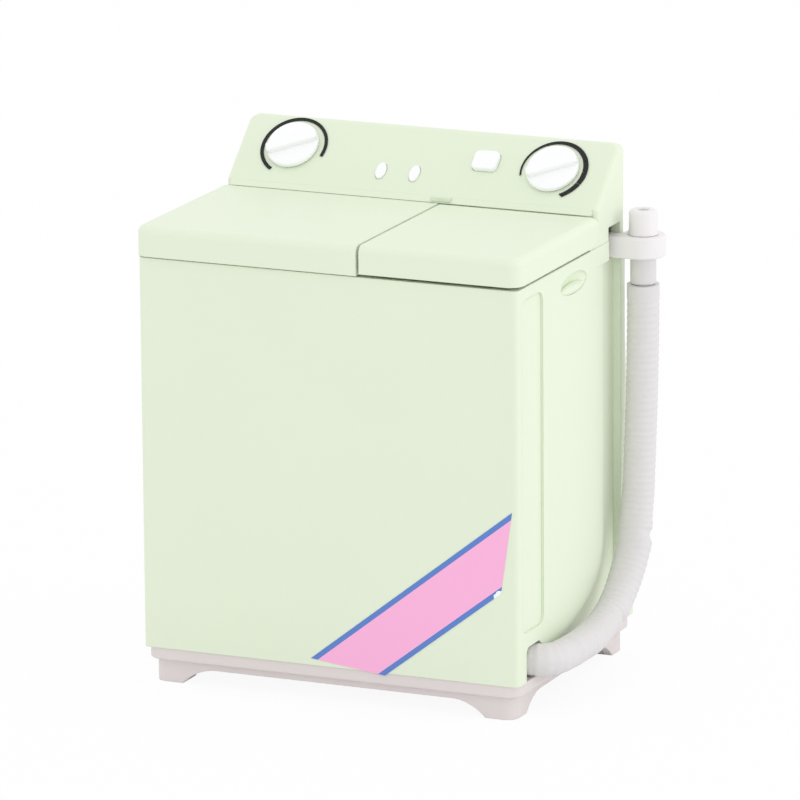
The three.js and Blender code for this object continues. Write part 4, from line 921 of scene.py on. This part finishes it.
# Drain hose: a fine-ribbed grey hose, pushed into its socket behind the cabinet's hole. It turns
# to the back along the sill, climbs the rear corner and ends in the clip.
hose_radius, hose_valley, hose_bore, rib_pitch, cuff = 2.25, 2.18, 1.35, 0.95, 1.6
hose_start = right_inner - 3
run_x = body_half + 2.45
hose_route = [
    (hose_start, exit_y, exit_z),
    (hose_start + 1.5, exit_y, exit_z),
    (hose_start + 3, exit_y, exit_z),
    (hose_start + 4.2, exit_y + 0.1, exit_z),
    (body_half + 0.9, exit_y + 0.7, exit_z - 0.05),
    (run_x - 0.4, exit_y + 2.3, exit_z - 0.1),
    (run_x - 0.1, exit_y + 5.1, exit_z - 0.15),
    (run_x, -3.5, exit_z - 0.2),
    (run_x + 0.05, 1, exit_z),
    (run_x + 0.15, 5, exit_z + 0.8),
    (run_x + 0.35, clip_y - 9.8, exit_z + 2.3),
    (run_x + 0.55, clip_y - 7.3, exit_z + 4.4),
    (run_x + 0.7, clip_y - 5.2, exit_z + 6.8),
    (run_x + 0.8, clip_y - 3.5, exit_z + 9.6),
    (clip_x - 0.3, clip_y - 2.2, exit_z + 12.8),
    (clip_x - 0.25, clip_y - 1.3, exit_z + 16.6),
    (clip_x - 0.2, clip_y - 0.7, hose_top - 23),
    (clip_x - 0.1, clip_y - 0.3, hose_top - 16),
    (clip_x - 0.05, clip_y - 0.1, hose_top - 10),
    (clip_x, clip_y, hose_top - 4.2),
    (clip_x, clip_y, hose_top - 2),
    (clip_x, clip_y, hose_top),
]


def curve_point(a, b, c, d, knots, t):
    """A point between b and c of the centripetal curve through four points."""

    def between(p, q, low, high):
        return p * ((high - t) / (high - low)) + q * ((t - low) / (high - low))

    k0, k1, k2, k3 = knots
    first, second, third = between(a, b, k0, k1), between(b, c, k1, k2), between(c, d, k2, k3)
    return between(between(first, second, k0, k2), between(second, third, k1, k3), k1, k2)


def smooth_line(route, spacing):
    """Points at an even spacing on a smooth curve through the route's points."""
    ends = [2 * Vector(route[0]) - Vector(route[1]), 2 * Vector(route[-1]) - Vector(route[-2])]
    stops = [ends[0], *map(Vector, route), ends[1]]
    fine = []
    for a, b, c, d in zip(stops, stops[1:], stops[2:], stops[3:]):
        knots = [0.0]
        for p, q in ((a, b), (b, c), (c, d)):
            knots.append(knots[-1] + math.sqrt((q - p).length))
        for step in range(24):
            t = knots[1] + (knots[2] - knots[1]) * step / 24
            fine.append(curve_point(a, b, c, d, knots, t))
    fine.append(stops[-2])
    total = [0.0]
    for p, q in zip(fine, fine[1:]):
        total.append(total[-1] + (q - p).length)
    count = round(total[-1] / spacing)
    line, index = [], 0
    for i in range(count + 1):
        target = total[-1] * i / count
        while index < len(total) - 2 and total[index + 1] < target:
            index += 1
        share = (target - total[index]) / (total[index + 1] - total[index])
        line.append(fine[index].lerp(fine[index + 1], share))
    return line, total[-1]


# In the bend the hose has gone a little flat and has folded in three places, each with the way
# that its dent faces.
press_from, press_to = 27, 6
folds = [
    ((31.1, 15.2, 18.5), (0.8, 0.6, 0)),
    ((30.7, 7, 9.1), (0.8, 0.3, -0.1)),
    ((30.35, -7.5, 7.25), (0.6, 0, 0.8)),
]


def pressed(centre, way):
    """How far the hose's wall stands out or in at a place, beyond its ribs, in millimetres."""
    share = min(max((press_from - centre.z) / (press_from - press_to), 0), 1)
    share *= min(max((centre.y + 4) / 8, 0), 1)
    out = 0.2 * math.sin(math.pi * share) ** 2 * (way.x * way.x - way.y * way.y)
    for place, facing in folds:
        gap = (centre - Vector(place)).length
        turn = max(way.dot(Vector(facing)), 0)
        swell = 0.12 * math.exp(-((gap - 1.4) / 0.7) ** 2)
        dent = 0.34 * math.exp(-(gap / 0.5) ** 2)
        out += turn * (swell - dent)
    return out


def hose_mesh(line, length, sides=28):
    """Rings about the middle line, with rounded ribs between two smooth cuffs, and the bore,
    which has a sixth as many rings."""
    ribs = int((length - 2 * cuff) / rib_pitch)
    start = (length - ribs * rib_pitch) / 2
    last = len(line) - 1
    tangents = [
        (line[min(i + 1, last)] - line[max(i - 1, 0)]).normalized() for i in range(last + 1)
    ]
    across = tangents[0].orthogonal().normalized()
    shape = bmesh.new()
    outer, inner = [], []
    for i, (point, along) in enumerate(zip(line, tangents)):
        across = (across - along * across.dot(along)).normalized()
        other = along.cross(across)
        distance = length * i / last
        phase = (distance - start) / rib_pitch
        radius = hose_radius
        if 0 < phase < ribs:
            dip = 0.5 + 0.5 * math.cos(2 * math.pi * (phase - 0.25))
            radius -= (hose_radius - hose_valley) * dip
        for rings, size in ((outer, radius), (inner, hose_bore)):
            if rings is inner and i % 6 and i != last:
                continue
            ring = []
            for k in range(sides):
                angle = 2 * math.pi * k / sides
                offset = across * math.cos(angle) + other * math.sin(angle)
                press = pressed(point, offset) if rings is outer else 0
                ring.append(shape.verts.new((point + offset * (size + press)) * mm))
            rings.append(ring)
    for rings, way in ((outer, 1), (inner, -1)):
        for low, high in zip(rings, rings[1:]):
            for k in range(sides):
                n = (k + 1) % sides
                shape.faces.new([low[k], low[n], high[n], high[k]][::way])
    for end, way in ((0, -1), (-1, 1)):
        for k in range(sides):
            n = (k + 1) % sides
            shape.faces.new([outer[end][k], outer[end][n], inner[end][n], inner[end][k]][::way])
    mesh = bpy.data.meshes.new("ribbed_hose")
    shape.normal_update()
    shape.to_mesh(mesh)
    shape.free()
    return mesh


hose_line, hose_length = smooth_line(hose_route, rib_pitch / 8)
hose = bpy.data.objects.new("ribbed_hose", hose_mesh(hose_line, hose_length))
bpy.context.scene.collection.objects.link(hose)
settle(hose, hose_plastic, "machine", ["drain_hose"], angle=60)
hose_path = [point * mm + middle for point in hose_line[::8]] + [hose_line[-1] * mm + middle]
hose_length * mm

# Drain pipes and drive shafts: inner pieces that show only from below. They keep their forms, in
# the hose's plastic and in bright steel.
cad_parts["drain_pipes"].material_slots[0].material = hose_plastic
for name in ("pulsator_shaft", "spin_shaft"):
    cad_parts[name].material_slots[0].material = screw_steel.owner

# Sticker: a thin printed film across the front's lower right corner, pink between two blue
# borders, with a small white nick where its lower right corner has peeled.
film = Finish(bpy.data.materials.new("printed_film"))
film_shader = film.nodes["Principled BSDF"]
film_shader.inputs["Roughness"].default_value = 0.35
film_place = film.node("ShaderNodeTexCoord").outputs["Object"]
parts = film.node("ShaderNodeSeparateXYZ", None, {0: film_place})
film_x = (Signal(film, parts.outputs["X"]) - middle.x) * (1 / mm)
film_z = Signal(film, parts.outputs["Z"]) * (1 / mm)
upper_left, upper_right = (-2.73, 6.0), (27.13, 29.44)
lower_left, lower_right = (8.29, 4.7), (25.47, 17.98)
border_width = 0.72


def across_line(first, second):
    """Distance above the line through two points of the front, in millimetres."""
    along = (Vector(second) - Vector(first)).normalized()
    return (film_z - first[1]) * along.x - (film_x - first[0]) * along.y


below_top = 0 - across_line(upper_left, upper_right)
above_bottom = across_line(lower_left, lower_right)
top_border = border_width - below_top > 0
bottom_border = border_width - above_bottom > 0
inks = film.mixed(top_border, paint(252, 180, 222), paint(88, 128, 204))
inks = film.mixed(bottom_border, inks, paint(88, 128, 204))
nick = film.signal(
    "ShaderNodeTexNoise", 0, None, {"Vector": film_place, "Scale": 900, "Detail": 2}
)
peel_x, peel_z, peel_area = 25.4, 17.4, 1.1
corner_x, corner_z = film_x - peel_x, film_z - peel_z
peeled = peel_area - (corner_x * corner_x + corner_z * corner_z) + (nick - 0.5) * 2 > 0
film.feed(film_shader.inputs["Base Color"], film.mixed(peeled, inks, paint(250, 250, 252)))
outline = [upper_left, lower_left, lower_right, upper_right]
sticker = prism("front_sticker", "y", outline, body_front - 0.06, body_front)
settle(sticker, film.owner, "machine", [])
